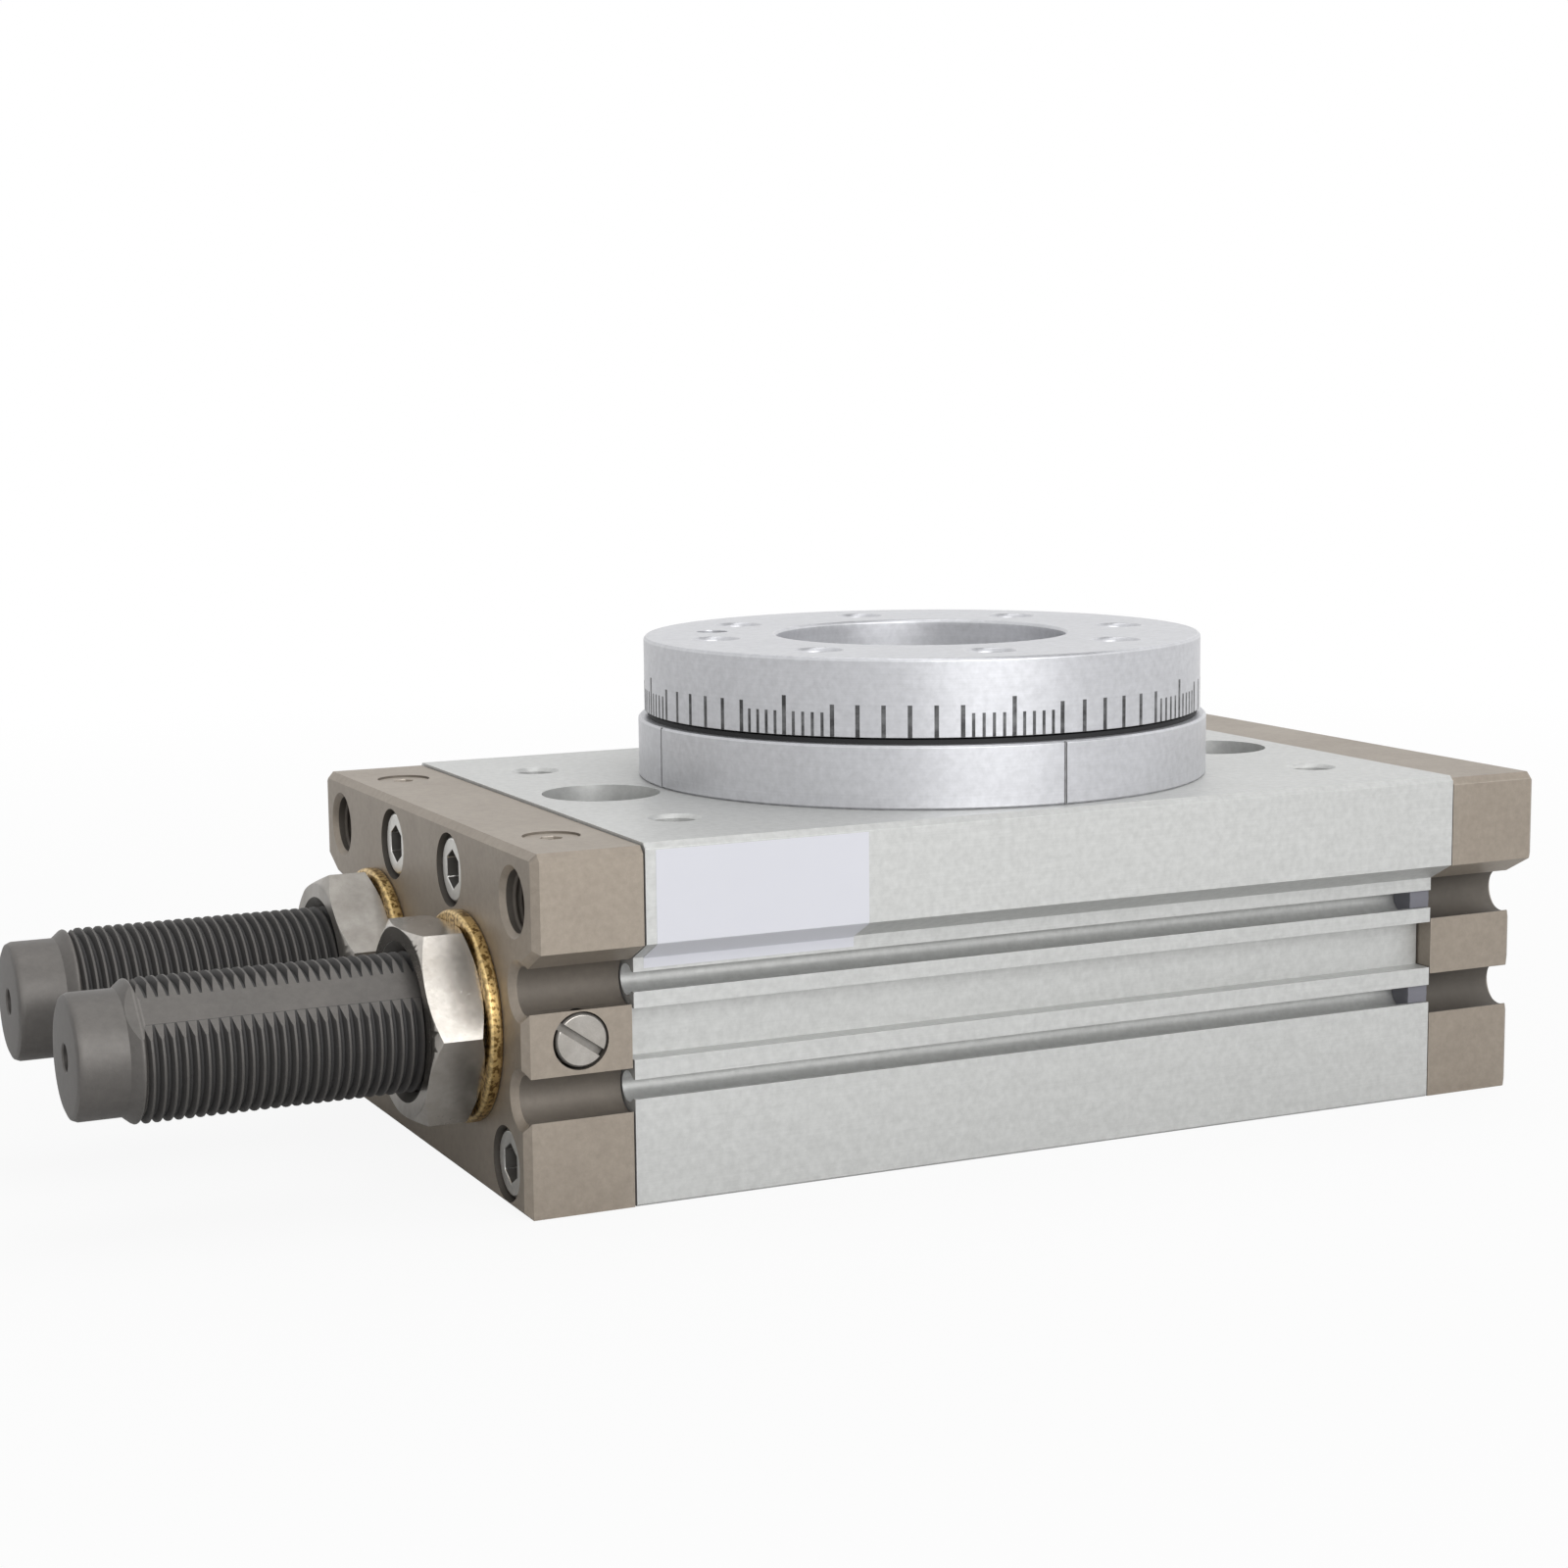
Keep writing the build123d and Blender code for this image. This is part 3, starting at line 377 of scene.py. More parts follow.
FINISHES: dict[str, MetalFinish | SoftFinish] = {
    "body_aluminium": MetalFinish(
        "anodised_extrusion", (0.565, 0.57, 0.56), (0.52, 0.525, 0.515), (0.8, 0.805, 0.795),
        metallic=0.55, roughness=0.46, grain=Grain.ALONG_X, grain_depth=0.006, stain_share=0.25,
    ),
    "cover_aluminium": MetalFinish(
        "warm_anodised_cover", (0.33, 0.285, 0.235), (0.27, 0.23, 0.19), (0.52, 0.475, 0.42),
        metallic=0.55, roughness=0.46, grain_depth=0.012, stain_share=0.5,
    ),
    "machined_aluminium": MetalFinish(
        "turned_aluminium", (0.575, 0.58, 0.605), (0.535, 0.54, 0.565), (0.8, 0.805, 0.815),
        metallic=0.7, roughness=0.38, grain=Grain.TURNED, grain_depth=0.004, stain_share=0.2,
    ),
    "zinc_steel": MetalFinish(
        "bright_plated_screws", (0.7, 0.69, 0.655), (0.56, 0.55, 0.515), (0.88, 0.87, 0.84),
        roughness=0.34, grain_depth=0.008,
    ),
    "nickel_steel": MetalFinish(
        "nickel_plated_steel", (0.56, 0.53, 0.49), (0.4, 0.37, 0.33), (0.82, 0.8, 0.76),
        roughness=0.25, grain_depth=0.004, stain_share=0.8, stain_scale=160.0, stain_edges=(0.4, 0.75),
        stain_detail=2.0,
    ),
    "bearing_steel": MetalFinish(
        "ground_bearing_steel", (0.56, 0.56, 0.57), (0.5, 0.5, 0.51), (0.76, 0.76, 0.77),
        roughness=0.18, grain=Grain.TURNED, grain_depth=0.003, stain_share=0.2,
    ),
    "spring_steel": MetalFinish(
        "black_spring_steel", (0.045, 0.045, 0.048), (0.03, 0.03, 0.032), (0.24, 0.24, 0.245),
        roughness=0.42, grain_depth=0.008,
    ),
    "gear_steel": MetalFinish(
        "hardened_gear_steel", (0.38, 0.38, 0.385), (0.3, 0.295, 0.29), (0.62, 0.62, 0.625),
        roughness=0.3, grain_depth=0.006,
    ),
    "magnet_ferrite": MetalFinish(
        "sintered_magnet", (0.07, 0.07, 0.075), (0.05, 0.05, 0.052), (0.16, 0.16, 0.165),
        metallic=0.6, roughness=0.55, grain_depth=0.02,
    ),
    "absorber_steel": MetalFinish(
        "phosphated_steel", (0.12, 0.113, 0.106), (0.165, 0.153, 0.142), (0.29, 0.275, 0.255),
        metallic=0.5, roughness=0.5, grain_depth=0.02, stain_share=0.5, painted_shade_colour=(0.02, 0.02, 0.021),
    ),
    "rod_chrome": MetalFinish(
        "hard_chrome", (0.65, 0.655, 0.665), (0.6, 0.605, 0.615), (0.85, 0.85, 0.86),
        roughness=0.1, grain_depth=0.002, stain_share=0.15,
    ),
    "bush_bronze": MetalFinish(
        "plain_bronze", (0.42, 0.23, 0.09), (0.3, 0.16, 0.06), (0.64, 0.4, 0.18),
        roughness=0.36, grain_depth=0.01,
    ),
    "washer_brass": MetalFinish(
        "aged_brass", (0.64, 0.45, 0.19), (0.2, 0.12, 0.04), (0.8, 0.62, 0.33),
        roughness=0.4, grain_depth=0.04, stain_share=1.0, stain_scale=1500.0, stain_edges=(0.46, 0.58),
        stain_detail=1.5,
    ),
    "seal_rubber": SoftFinish("seal_rubber", (0.005, 0.005, 0.006), (0.01, 0.01, 0.011), 0.7),
    "cage_polymer": SoftFinish("moulded_cage", (0.56, 0.48, 0.3), (0.5, 0.42, 0.26), 0.5),
    "dark_plastic": SoftFinish("grey_moulded_plastic", (0.16, 0.16, 0.185), (0.13, 0.13, 0.15), 0.45),
    "wear_plastic": SoftFinish("low_friction_plastic", (0.68, 0.66, 0.6), (0.62, 0.6, 0.54), 0.5),
    "cap_plastic": SoftFinish("tough_cap_plastic", (0.52, 0.34, 0.06), (0.46, 0.3, 0.05), 0.35, coat=0.2),
    "sticker": SoftFinish(
        "bare_white_sticker", (0.605, 0.61, 0.655), (0.585, 0.59, 0.635), 0.5, 1600.0, 0.003
    ),
    "scale_ink": SoftFinish(
        "black_scale_ink", (0.01, 0.01, 0.011), (0.04, 0.04, 0.042), 0.5, 5000.0, scuffs=0.3
    ),
    "index_ink": SoftFinish(
        "grey_index_line", (0.1, 0.1, 0.102), (0.16, 0.16, 0.162), 0.5, 5000.0, scuffs=0.4
    ),
}


class Dresser:
    """Keeps one material for each finish and gives it to pieces and CAD nodes."""

    def __init__(self) -> None:
        """Starts with no material made."""
        self._made: dict[str, bpy.types.Material] = {}

    def material(self, slot: str) -> bpy.types.Material:
        """The material of a slot, made when it is first asked for."""
        if slot not in self._made:
            self._made[slot] = FINISHES[slot].build()
        return self._made[slot]

    def dress_nodes(self) -> None:
        """Gives every CAD node that is still shown the material of its own slot."""
        for part in frame["record"]["subparts"]:
            node = frame["nodes"][part["node"]]
            material = self.material(part["material_slot"])
            if not node.material_slots:
                node.data.materials.append(material)
            for slot in node.material_slots:
                slot.material = material


DRESSER = Dresser()


# Mesh building


@dataclass(frozen=True)
class PaintedLightSpot:
    """A round hole or groove whose walls are painted darker as shade, or brighter as a glint.

    Args:
        along: "X", "Y" or "Z", the axis of the hole.
        centre: A point of the axis.
        radius: Walls up to this radius are marked.
        low: Where it starts along the axis.
        high: Where it ends along the axis.
        amount: How strongly it is marked.
        walls_only: True leaves faces that look along the axis.
    """

    along: str
    centre: Triple
    radius: float
    low: float
    high: float
    amount: float
    walls_only: bool = True

    def amount_at(self, point: Vector, normal: Vector) -> float:
        """How strongly a face is marked.

        Args:
            point: Middle of the face.
            normal: Direction of the face.

        Returns:
            A number from 0 to 1.
        """
        axis = "XYZ".index(self.along)
        arm = point - Vector(self.centre)
        far = point[axis]
        arm[axis] = 0.0
        if arm.length > self.radius or not self.low <= far <= self.high:
            return 0.0
        if self.walls_only and abs(normal[axis]) > 0.8:
            return 0.0
        return self.amount


def edges_of(items: Iterable) -> list[bmesh.types.BMEdge]:
    """The edges among some parts of a mesh."""
    return [item for item in items if isinstance(item, bmesh.types.BMEdge)]


class Shape:
    """A mesh in work, in millimetres, that becomes one finished piece."""

    def __init__(self) -> None:
        """Starts an empty mesh with marks for worn edges with painted glints, and for painted shade."""
        self.bm = bmesh.new()
        self._find_layers()

    def _find_layers(self) -> None:
        """Finds or makes the marks for worn edges with painted glints, and for painted shade."""
        layers = self.bm.loops.layers.float
        for name in ("worn", "grime"):
            if layers.get(name) is None:
                layers.new(name)
        self.worn = layers.get("worn")
        self.grime = layers.get("grime")

    @staticmethod
    def paint(faces: Iterable[bmesh.types.BMFace], layer: bmesh.types.BMLayerItem, amount: float) -> None:
        """Sets a mark on all corners of some faces."""
        for face in faces:
            for loop in face.loops:
                loop[layer] = amount

    def mark(self, places: Sequence[PaintedLightSpot], layer: bmesh.types.BMLayerItem) -> None:
        """Marks the faces that lie in some places, by the amount of the place.

        Args:
            places: The places.
            layer: The mark to set, for worn edges and painted glints, or for painted shade.
        """
        for face in self.bm.faces:
            centre = face.calc_center_median()
            amount = max((place.amount_at(centre, face.normal) for place in places), default=0.0)
            if amount > 0.0:
                for loop in face.loops:
                    loop[self.worn] *= 1.0 - amount
                    loop[layer] = amount

    def chain(self, points: Sequence[Triple], closed: bool = False) -> list:
        """Adds a line of edges.

        Args:
            points: Corners of the line.
            closed: True joins the end to the start.

        Returns:
            The new vertices and edges.
        """
        verts = [self.bm.verts.new(point) for point in points]
        pairs = list(zip(verts, verts[1:]))
        if closed:
            pairs.append((verts[-1], verts[0]))
        edges = [self.bm.edges.new(pair) for pair in pairs]
        return verts + edges

    @staticmethod
    def _section(profile: Pairs, centre: Triple, along: str) -> tuple[list[Triple], Vector]:
        """Places a profile in a plane through an axis.

        Args:
            profile: Distance along the axis and radius of each corner.
            centre: A point of the axis.
            along: "X" or "Z", the axis.

        Returns:
            The corners and the direction of the axis.
        """
        x, y, z = centre
        if along == "X":
            return [(x + far, y, z + radius) for far, radius in profile], Vector((1.0, 0.0, 0.0))
        return [(x + radius, y, z + far) for far, radius in profile], Vector((0.0, 0.0, 1.0))

    def lathe(self, profile: Pairs, centre: Triple, steps: int) -> None:
        """Turns a profile once round an axis along X.

        Args:
            profile: Distance along the axis and radius of each corner.
            centre: A point of the axis.
            steps: Number of steps of the full turn.
        """
        points, axis = self._section(profile, centre, "X")
        geometry = self.chain(points)
        bmesh.ops.spin(
            self.bm, geom=geometry, cent=centre, axis=axis, angle=FULL_TURN, steps=steps, use_merge=True
        )
        bmesh.ops.remove_doubles(self.bm, verts=self.bm.verts, dist=AXIS_WELD_MM)

    def helix(
        self, profile: Pairs, centre: Triple, along: str, pitch: float, turns: float, steps: int
    ) -> None:
        """Winds a closed profile round an axis as a screw thread, with closed ends.

        Args:
            profile: Distance along the axis and radius of each corner.
            centre: The start of the thread on its axis.
            along: "X" or "Z", the axis.
            pitch: Distance along the axis for each turn.
            turns: Number of turns.
            steps: Steps of each turn.
        """
        points, axis = self._section(profile, centre, along)
        geometry = self.chain(points, closed=True)
        first = edges_of(geometry)
        wound = bmesh.ops.spin(
            self.bm, geom=geometry, cent=centre, axis=axis, dvec=axis * (pitch / steps),
            angle=FULL_TURN * turns, steps=round(turns * steps),
        )
        for rim in (first, edges_of(wound["geom_last"])):
            bmesh.ops.edgeloop_fill(self.bm, edges=rim)

    def plate(self, degrees: float, centre: Triple, size: Triple) -> None:
        """Adds a thin upright plate that is turned about the table axis.

        Args:
            degrees: How far it is turned.
            centre: Its middle before the turn.
            size: Its thickness, width and height.
        """
        turn = Matrix.Rotation(math.radians(degrees), 4, "Z")
        matrix = turn @ Matrix.Translation(centre) @ Matrix.Diagonal((*size, 1.0))
        bmesh.ops.create_cube(self.bm, size=1.0, matrix=matrix)

    def copy_of(self, node: str) -> None:
        """Takes over the mesh of a CAD node, with its loose triangles joined.

        Args:
            node: Name of the node.
        """
        self.bm.from_mesh(frame["nodes"][node].data)
        self._find_layers()
        bmesh.ops.scale(self.bm, vec=(1.0 / MM,) * 3, verts=self.bm.verts)
        bmesh.ops.remove_doubles(self.bm, verts=self.bm.verts, dist=WELD_MM)
        bmesh.ops.dissolve_limit(
            self.bm, angle_limit=math.radians(SAME_PLANE_DEGREES), verts=self.bm.verts,
            edges=self.bm.edges, use_dissolve_boundaries=False,
        )

    def round_edges(self, width: float, angle: float = 40.0, segments: int = 2, wear: float = 1.0) -> None:
        """Rounds the sharp edges and marks them as worn.

        Args:
            width: Width of the rounding.
            angle: Edges that turn by more degrees than this are sharp.
            segments: Steps of the rounding.
            wear: How worn the edges are.
        """
        sharp = [
            edge
            for edge in self.bm.edges
            if len(edge.link_faces) == 2 and edge.calc_face_angle(0.0) > math.radians(angle)
        ]
        made = bmesh.ops.bevel(
            self.bm, geom=sharp, offset=width, offset_type="OFFSET", segments=segments, profile=0.5,
            affect="EDGES", clamp_overlap=True, material=-1, loop_slide=True,
        )
        self.paint(made["faces"], self.worn, wear)

    def finish(
        self,
        name: str,
        slot: str,
        body: str,
        stands_for: Sequence[str] = (),
        smooth_degrees: float = 32.0,
        finish: str | None = None,
    ) -> bpy.types.Object:
        """Turns the mesh into a piece that rides on a CAD body.

        Args:
            name: Name of the piece.
            slot: The record's material slot.
            body: The CAD body that carries it.
            stands_for: CAD nodes that it replaces.
            smooth_degrees: Edges flatter than this are shaded smooth.
            finish: Name of the finish, if it isn't the slot's own.

        Returns:
            The piece.
        """
        bmesh.ops.scale(self.bm, vec=(MM,) * 3, verts=self.bm.verts)
        if not stands_for or name.endswith("_turned"):
            bmesh.ops.recalc_face_normals(self.bm, faces=self.bm.faces)
        for face in self.bm.faces:
            face.smooth = True
        for edge in self.bm.edges:
            if len(edge.link_faces) == 2 and edge.calc_face_angle(0.0) > math.radians(smooth_degrees):
                edge.smooth = False
        mesh = bpy.data.meshes.new(name)
        self.bm.to_mesh(mesh)
        self.bm.free()
        mesh.materials.clear()
        mesh.materials.append(DRESSER.material(finish or slot))
        piece = bpy.data.objects.new(name, mesh)
        bpy.context.scene.collection.objects.link(piece)
        weighted = piece.modifiers.new("even_normals", "WEIGHTED_NORMAL")
        weighted.keep_sharp = True
        weighted.weight = 100
        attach(piece, body)
        if stands_for:
            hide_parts(*stands_for)
        LOG.info("%s: %d faces on %s", name, len(mesh.polygons), body)
        return piece


# Sub-assemblies


@dataclass(frozen=True)
class PaintedLightPlaces:
    """The holes and grooves of the CAD parts that are painted with shade, and the plug sockets that are
    painted with glints.
    """

    cover_inner: float = 67.9
    cover_outer: float = 84.1
    groove_side: float = 41.5
    groove_heights: tuple[float, ...] = (16.7, 31.9)
    groove_radius: float = 3.55
    screws: tuple[tuple[float, float], ...] = ((-13.2, 44.5), (13.2, 44.5), (-35.0, 6.3), (35.0, 6.3))
    screw_radius: float = 5.5
    socket_radius: float = 2.85
    screw_top: float = 83.3
    ports: tuple[tuple[float, float], ...] = ((-39.5, 44.0), (39.5, 44.0))
    port_radius: float = 4.5
    plug_x: float = -75.6
    top_plug_sides: tuple[float, ...] = (-33.0, 33.0)
    axis_z: float = 24.5

    def cover(self, end: float, groove: float) -> tuple[PaintedLightSpot, ...]:
        """The places of an end cover that are painted with shade.

        Args:
            end: -1 for the absorber side and 1 for the plain side.
            groove: How strongly shade is painted into its grooves.

        Returns:
            The places painted with shade.
        """
        low, high = sorted((end * self.cover_inner, end * self.cover_outer))
        places = [
            PaintedLightSpot("X", (0.0, side * self.groove_side, height), self.groove_radius, low, high, groove)
            for side in (-1.0, 1.0)
            for height in self.groove_heights
        ]
        places += [PaintedLightSpot("X", (0.0, *spot), self.screw_radius, low, high, 0.97) for spot in self.screws]
        if end < 0.0:
            places += [
                PaintedLightSpot("X", (0.0, *spot), self.port_radius, low, high, 0.85) for spot in self.ports
            ]
            places += [PaintedLightSpot("Y", (self.plug_x, 0.0, self.axis_z), 4.2, -43.0, 43.0, 0.85)]
            places += self._top_plugs(4.25, 47.0, 51.7, 0.55)
        return tuple(places)

    def _top_plugs(self, radius: float, low: float, high: float, amount: float) -> list[PaintedLightSpot]:
        """Places round the axes of the plugs in the top of the left cover."""
        return [
            PaintedLightSpot("Z", (self.plug_x, y, 0.0), radius, low, high, amount) for y in self.top_plug_sides
        ]

    def painted_top_glints(self) -> tuple[PaintedLightSpot, ...]:
        """The sockets of the top plugs, painted bright as glints."""
        return tuple(self._top_plugs(1.9, 48.0, 51.25, 1.0))

    def side_slots(self) -> tuple[PaintedLightSpot, ...]:
        """Painted shade in the slots of the plugs in the sides of the left cover."""
        return (PaintedLightSpot("Y", (-75.4, 0.0, self.axis_z), 4.0, -42.7, 42.7, 0.55, False),)

    def nut(self, axis_y: float, painted_dark: float = 0.0) -> tuple[PaintedLightSpot, ...]:
        """Painted shade on the faces of a lock nut and in its mouth and thread.

        Args:
            axis_y: Where the axis of the nut lies.
            painted_dark: How strongly shade is painted on its faces.

        Returns:
            The places painted with shade.
        """
        centre = (0.0, axis_y, self.axis_z)
        faces = PaintedLightSpot("X", centre, 20.0, -95.0, -75.0, painted_dark, False)
        return faces, PaintedLightSpot("X", centre, 11.4, -94.0, -85.9, 0.9, False)

    def sockets(self) -> tuple[PaintedLightSpot, ...]:
        """Painted shade in the sockets of the cover screws."""
        top = self.screw_top
        return tuple(
            PaintedLightSpot("X", (0.0, *spot), self.socket_radius, -top, top, 0.95, False) for spot in self.screws
        )


PLACES = PaintedLightPlaces()


@dataclass(frozen=True)
class Rounding:
    """How a CAD part is dressed.

    Args:
        width: Width of its rounded edges.
        wear: How bright its worn edges are.
        grime: Its places painted with shade.
        painted_glints: Places painted bright as glints of light.
        segments: Steps of its rounded edges.
    """

    width: float
    wear: float = 0.5
    grime: tuple[PaintedLightSpot, ...] = ()
    painted_glints: tuple[PaintedLightSpot, ...] = ()
    segments: int = 2


@dataclass
class RoundedParts:
    """CAD parts that keep their shape and get rounded, worn edges.

    Args:
        parts: How each node is dressed.
    """

    # Covers, nuts and screws carry painted shade in their grooves, holes and sockets, and the top plugs
    # carry painted glints.
    parts: dict[str, Rounding] = field(
        default_factory=lambda: {
            "body": Rounding(0.18, 0.35),
            "left_end_cover": Rounding(0.42, 0.22, PLACES.cover(-1.0, 0.62), segments=3),
            "right_end_cover": Rounding(0.42, 0.22, PLACES.cover(1.0, 0.88), segments=3),
            "bearing_retainer": Rounding(0.15, 0.25),
            "rotary_table": Rounding(0.15, 0.25),
            "near_lock_nut": Rounding(0.28, 0.5, PLACES.nut(-20.0)),
            # The far nut's faces are painted darker as shade.
            "far_lock_nut": Rounding(0.28, 0.5, PLACES.nut(20.0, 0.32)),
            "near_seal_washer": Rounding(0.35, 0.5),
            "far_seal_washer": Rounding(0.35, 0.5),
            "left_cover_screws": Rounding(0.14, 0.8, PLACES.sockets()),
            "right_cover_screws": Rounding(0.14, 0.8, PLACES.sockets()),
            "table_screws": Rounding(0.10, 0.6),
            "cover_top_plugs": Rounding(0.10, 0.3, painted_glints=PLACES.painted_top_glints()),
            "cover_side_plugs": Rounding(0.12, 0.35, PLACES.side_slots()),
            "switch_slot_stops": Rounding(0.08, 0.3),
        }
    )

    def build(self) -> None:
        """Builds one piece for each node."""
        slots = {part["node"]: part["material_slot"] for part in frame["record"]["subparts"]}
        bodies = {
            node: body
            for body, nodes in frame["record"]["behaviour"]["bodies"].items()
            for node in nodes
        }
        for node, look in self.parts.items():
            shape = Shape()
            shape.copy_of(node)
            shape.round_edges(look.width, segments=look.segments, wear=look.wear)
            # Paints glints bright, and paints shade into holes, grooves and sockets.
            shape.mark(look.painted_glints, shape.worn)
            shape.mark(look.grime, shape.grime)
            shape.finish(f"{node}_rounded", slots[node], bodies[node], (node,))


@dataclass
class ThreadedAbsorber:
    """The threaded tube of one shock absorber, with its end cap and milled flat.

    Args:
        side: "near" or "far".
        axis_y: Y of the axis.
        flat_degrees: Direction of the flat above the horizontal, towards -Y.
    """

    side: str
    axis_y: float
    flat_degrees: float
    axis_z: float = 24.5
    end: float = -141.1
    front: float = -72.3
    cap_radius: float = 8.8
    cap_length: float = 7.0
    cap_edge: float = 1.0
    mouth_edge: float = 0.2
    collar_step: float = 0.05
    flare: float = 1.5
    outer_radius: float = 10.0
    root_radius: float = 9.1
    pitch: float = 1.5
    thread_gap: float = 0.9
    thread_rest: float = 1.4
    crest_width: float = 0.30
    root_width: float = 1.30
    root_sink: float = 0.08
    flat_play: float = 0.015
    # Painted shade on the thread, on the core between its turns, its crests, its flanks and its roots.
    groove_dark: float = 0.9
    crest_dark: float = 0.32
    flank_dark: float = 0.55
    root_dark: float = 0.97
    flat_depth: float = 1.15
    hole_radius: float = 1.9
    hole_depth: float = 2.5
    cavity_radius: float = 6.5
    cavity_depth: float = 60.0
    rounding: float = 0.18
    sharp_degrees: float = 50.0
    wear: float = 0.3
    steps: int = 64
    thread_steps: int = 48
    shape: Shape = field(default_factory=Shape)

    def build(self) -> None:
        """Builds the tube with its thread."""
        self.shape.lathe(self._core_profile(), (0.0, self.axis_y, self.axis_z), self.steps)
        self.shape.round_edges(self.rounding, self.sharp_degrees, wear=self.wear)
        self._mill_flat(self._thread_faces(), 0.0)
        self._wind_thread()
        name = f"{self.side}_absorber"
        self.shape.finish(f"{name}_turned", "absorber_steel", name, (f"{name}_tube",), smooth_degrees=28.0)

    def _core_profile(self) -> list[tuple[float, float]]:
        """The tube without its thread.

        Returns:
            Distance along X and radius of each corner.
        """
        end, front = self.end, self.front
        edge, mouth, collar = self.cap_edge, self.mouth_edge, self.outer_radius - self.collar_step
        flare_start = end + self.cap_length
        thread_start = flare_start + self.flare
        return [
            (end + self.hole_depth, 0.0),
            (end + self.hole_depth, self.hole_radius),
            (end + mouth, self.hole_radius),
            (end, self.hole_radius + mouth),
            (end, self.cap_radius - edge),
            (end + 0.3 * edge, self.cap_radius - 0.3 * edge),
            (end + edge, self.cap_radius),
            (flare_start, self.cap_radius),
            (thread_start - 0.3, self.outer_radius - 0.2),
            (thread_start, collar),
            (thread_start + 0.25, collar),
            (thread_start + 0.7, self.root_radius),
            (front - edge, self.root_radius),
            (front, self.root_radius - edge),
            (front, self.cavity_radius),
            (front - self.cavity_depth, self.cavity_radius),
            (front - self.cavity_depth, 0.0),
        ]

    def _thread_faces(self) -> list[bmesh.types.BMFace]:
        """The outer faces of the tube from the flare to its front end."""
        start = self.end + self.cap_length - 0.01
        return [
            face
            for face in self.shape.bm.faces
            if min(vert.co.x for vert in face.verts) > start
            and min(self._arm(vert.co).length for vert in face.verts) > self.root_radius - 1.2
        ]

    def _arm(self, point: Vector) -> Vector:
        """The arm from the axis to a point."""
        return Vector((0.0, point.y - self.axis_y, point.z - self.axis_z))

    def _wind_thread(self) -> None:
        """Winds the thread ridge round the tube, mills its flat and marks it."""
        sunk = self.root_radius - self.root_sink
        profile = [
            (-self.root_width / 2, sunk),
            (-self.crest_width / 2, self.outer_radius),
            (self.crest_width / 2, self.outer_radius),
            (self.root_width / 2, sunk),
        ]
        start = self.end + self.cap_length + self.flare + self.thread_gap
        turns = math.floor((self.front - self.thread_rest - start) / self.pitch)
        before = set(self.shape.bm.faces)
        core = set(self.shape.bm.verts)
        middle = (start, self.axis_y, self.axis_z)
        self.shape.helix(profile, middle, "X", self.pitch, turns, self.thread_steps)
        ridge = [face for face in self.shape.bm.faces if face not in before]
        wound = [vert for vert in self.shape.bm.verts if vert not in core]
        self._taper_ends(wound, start, start + turns * self.pitch)
        self._mill_flat(ridge, self.flat_play)
        self._mark_thread(before)

    def _mark_thread(self, before: set) -> None:
        """Paints shade on the thread: lightly on its crests, more on its flanks, most in its roots and on
        the core between its turns.

        Args:
            before: The faces of the tube without its thread.
        """
        flat_radius = self.outer_radius - self.flat_depth
        groove_start = self.end + self.cap_length + self.flare + 1.0
        for face in self.shape.bm.faces:
            centre = face.calc_center_median()
            arm = self._arm(centre)
            level = abs(self._flat_normal().dot(arm) - flat_radius) < 0.05
            if face in before:
                if centre.x > groove_start and not level and arm.length > self.root_radius - 0.6:
                    self.shape.paint((face,), self.shape.grime, self.groove_dark)
            elif level:
                self.shape.paint((face,), self.shape.grime, 0.0)
            elif min(self._arm(vert.co).length for vert in face.verts) > self.root_radius + 0.2:
                self.shape.paint((face,), self.shape.grime, self.crest_dark)
            else:
                for loop in face.loops:
                    height = self._arm(loop.vert.co).length - self.root_radius
                    loop[self.shape.grime] = self.flank_dark if height > 0.3 else self.root_dark

    def _flat_normal(self) -> Vector:
        """The direction in which the flat looks."""
        up = math.radians(self.flat_degrees)
        return Vector((0.0, -math.cos(up), math.sin(up)))

    def _taper_ends(self, verts: list, first: float, last: float) -> None:
        """Lowers the thread at both of its ends.

        Args:
            verts: Vertices of the thread.
            first: Where the thread starts.
            last: Where it ends.
        """
        run = self.pitch * 0.5
        sunk = self.root_radius - self.root_sink
        for vert in verts:
            share = min((vert.co.x - first + run) / run, (last - vert.co.x + run) / run, 1.0)
            arm = self._arm(vert.co)
            lowered = sunk + (arm.length - self.root_radius + self.root_sink) * max(share, 0.0)
            arm.length = max(lowered, self.root_radius - 0.1)
            vert.co.y = self.axis_y + arm.y
            vert.co.z = self.axis_z + arm.z

    def _mill_flat(self, faces: list, deeper: float) -> None:
        """Mills the flat along some faces.

        Args:
            faces: Faces that the cutter may reach.
            deeper: How far the cutter goes below the flat.
        """
        normal = self._flat_normal()
        axis_point = Vector((0.0, self.axis_y, self.axis_z))
        point = axis_point + normal * (self.outer_radius - self.flat_depth - deeper)
        geometry = set(faces)
        for face in faces:
            geometry.update(face.edges)
            geometry.update(face.verts)
        made = bmesh.ops.bisect_plane(
            self.shape.bm, geom=list(geometry), dist=PLANE_SLACK_MM, plane_co=point, plane_no=normal
        )
        for item in made["geom"]:
            if not isinstance(item, bmesh.types.BMVert):
                continue
            above = (item.co - point).dot(normal)
            if above > 0.0:
                item.co -= normal * above


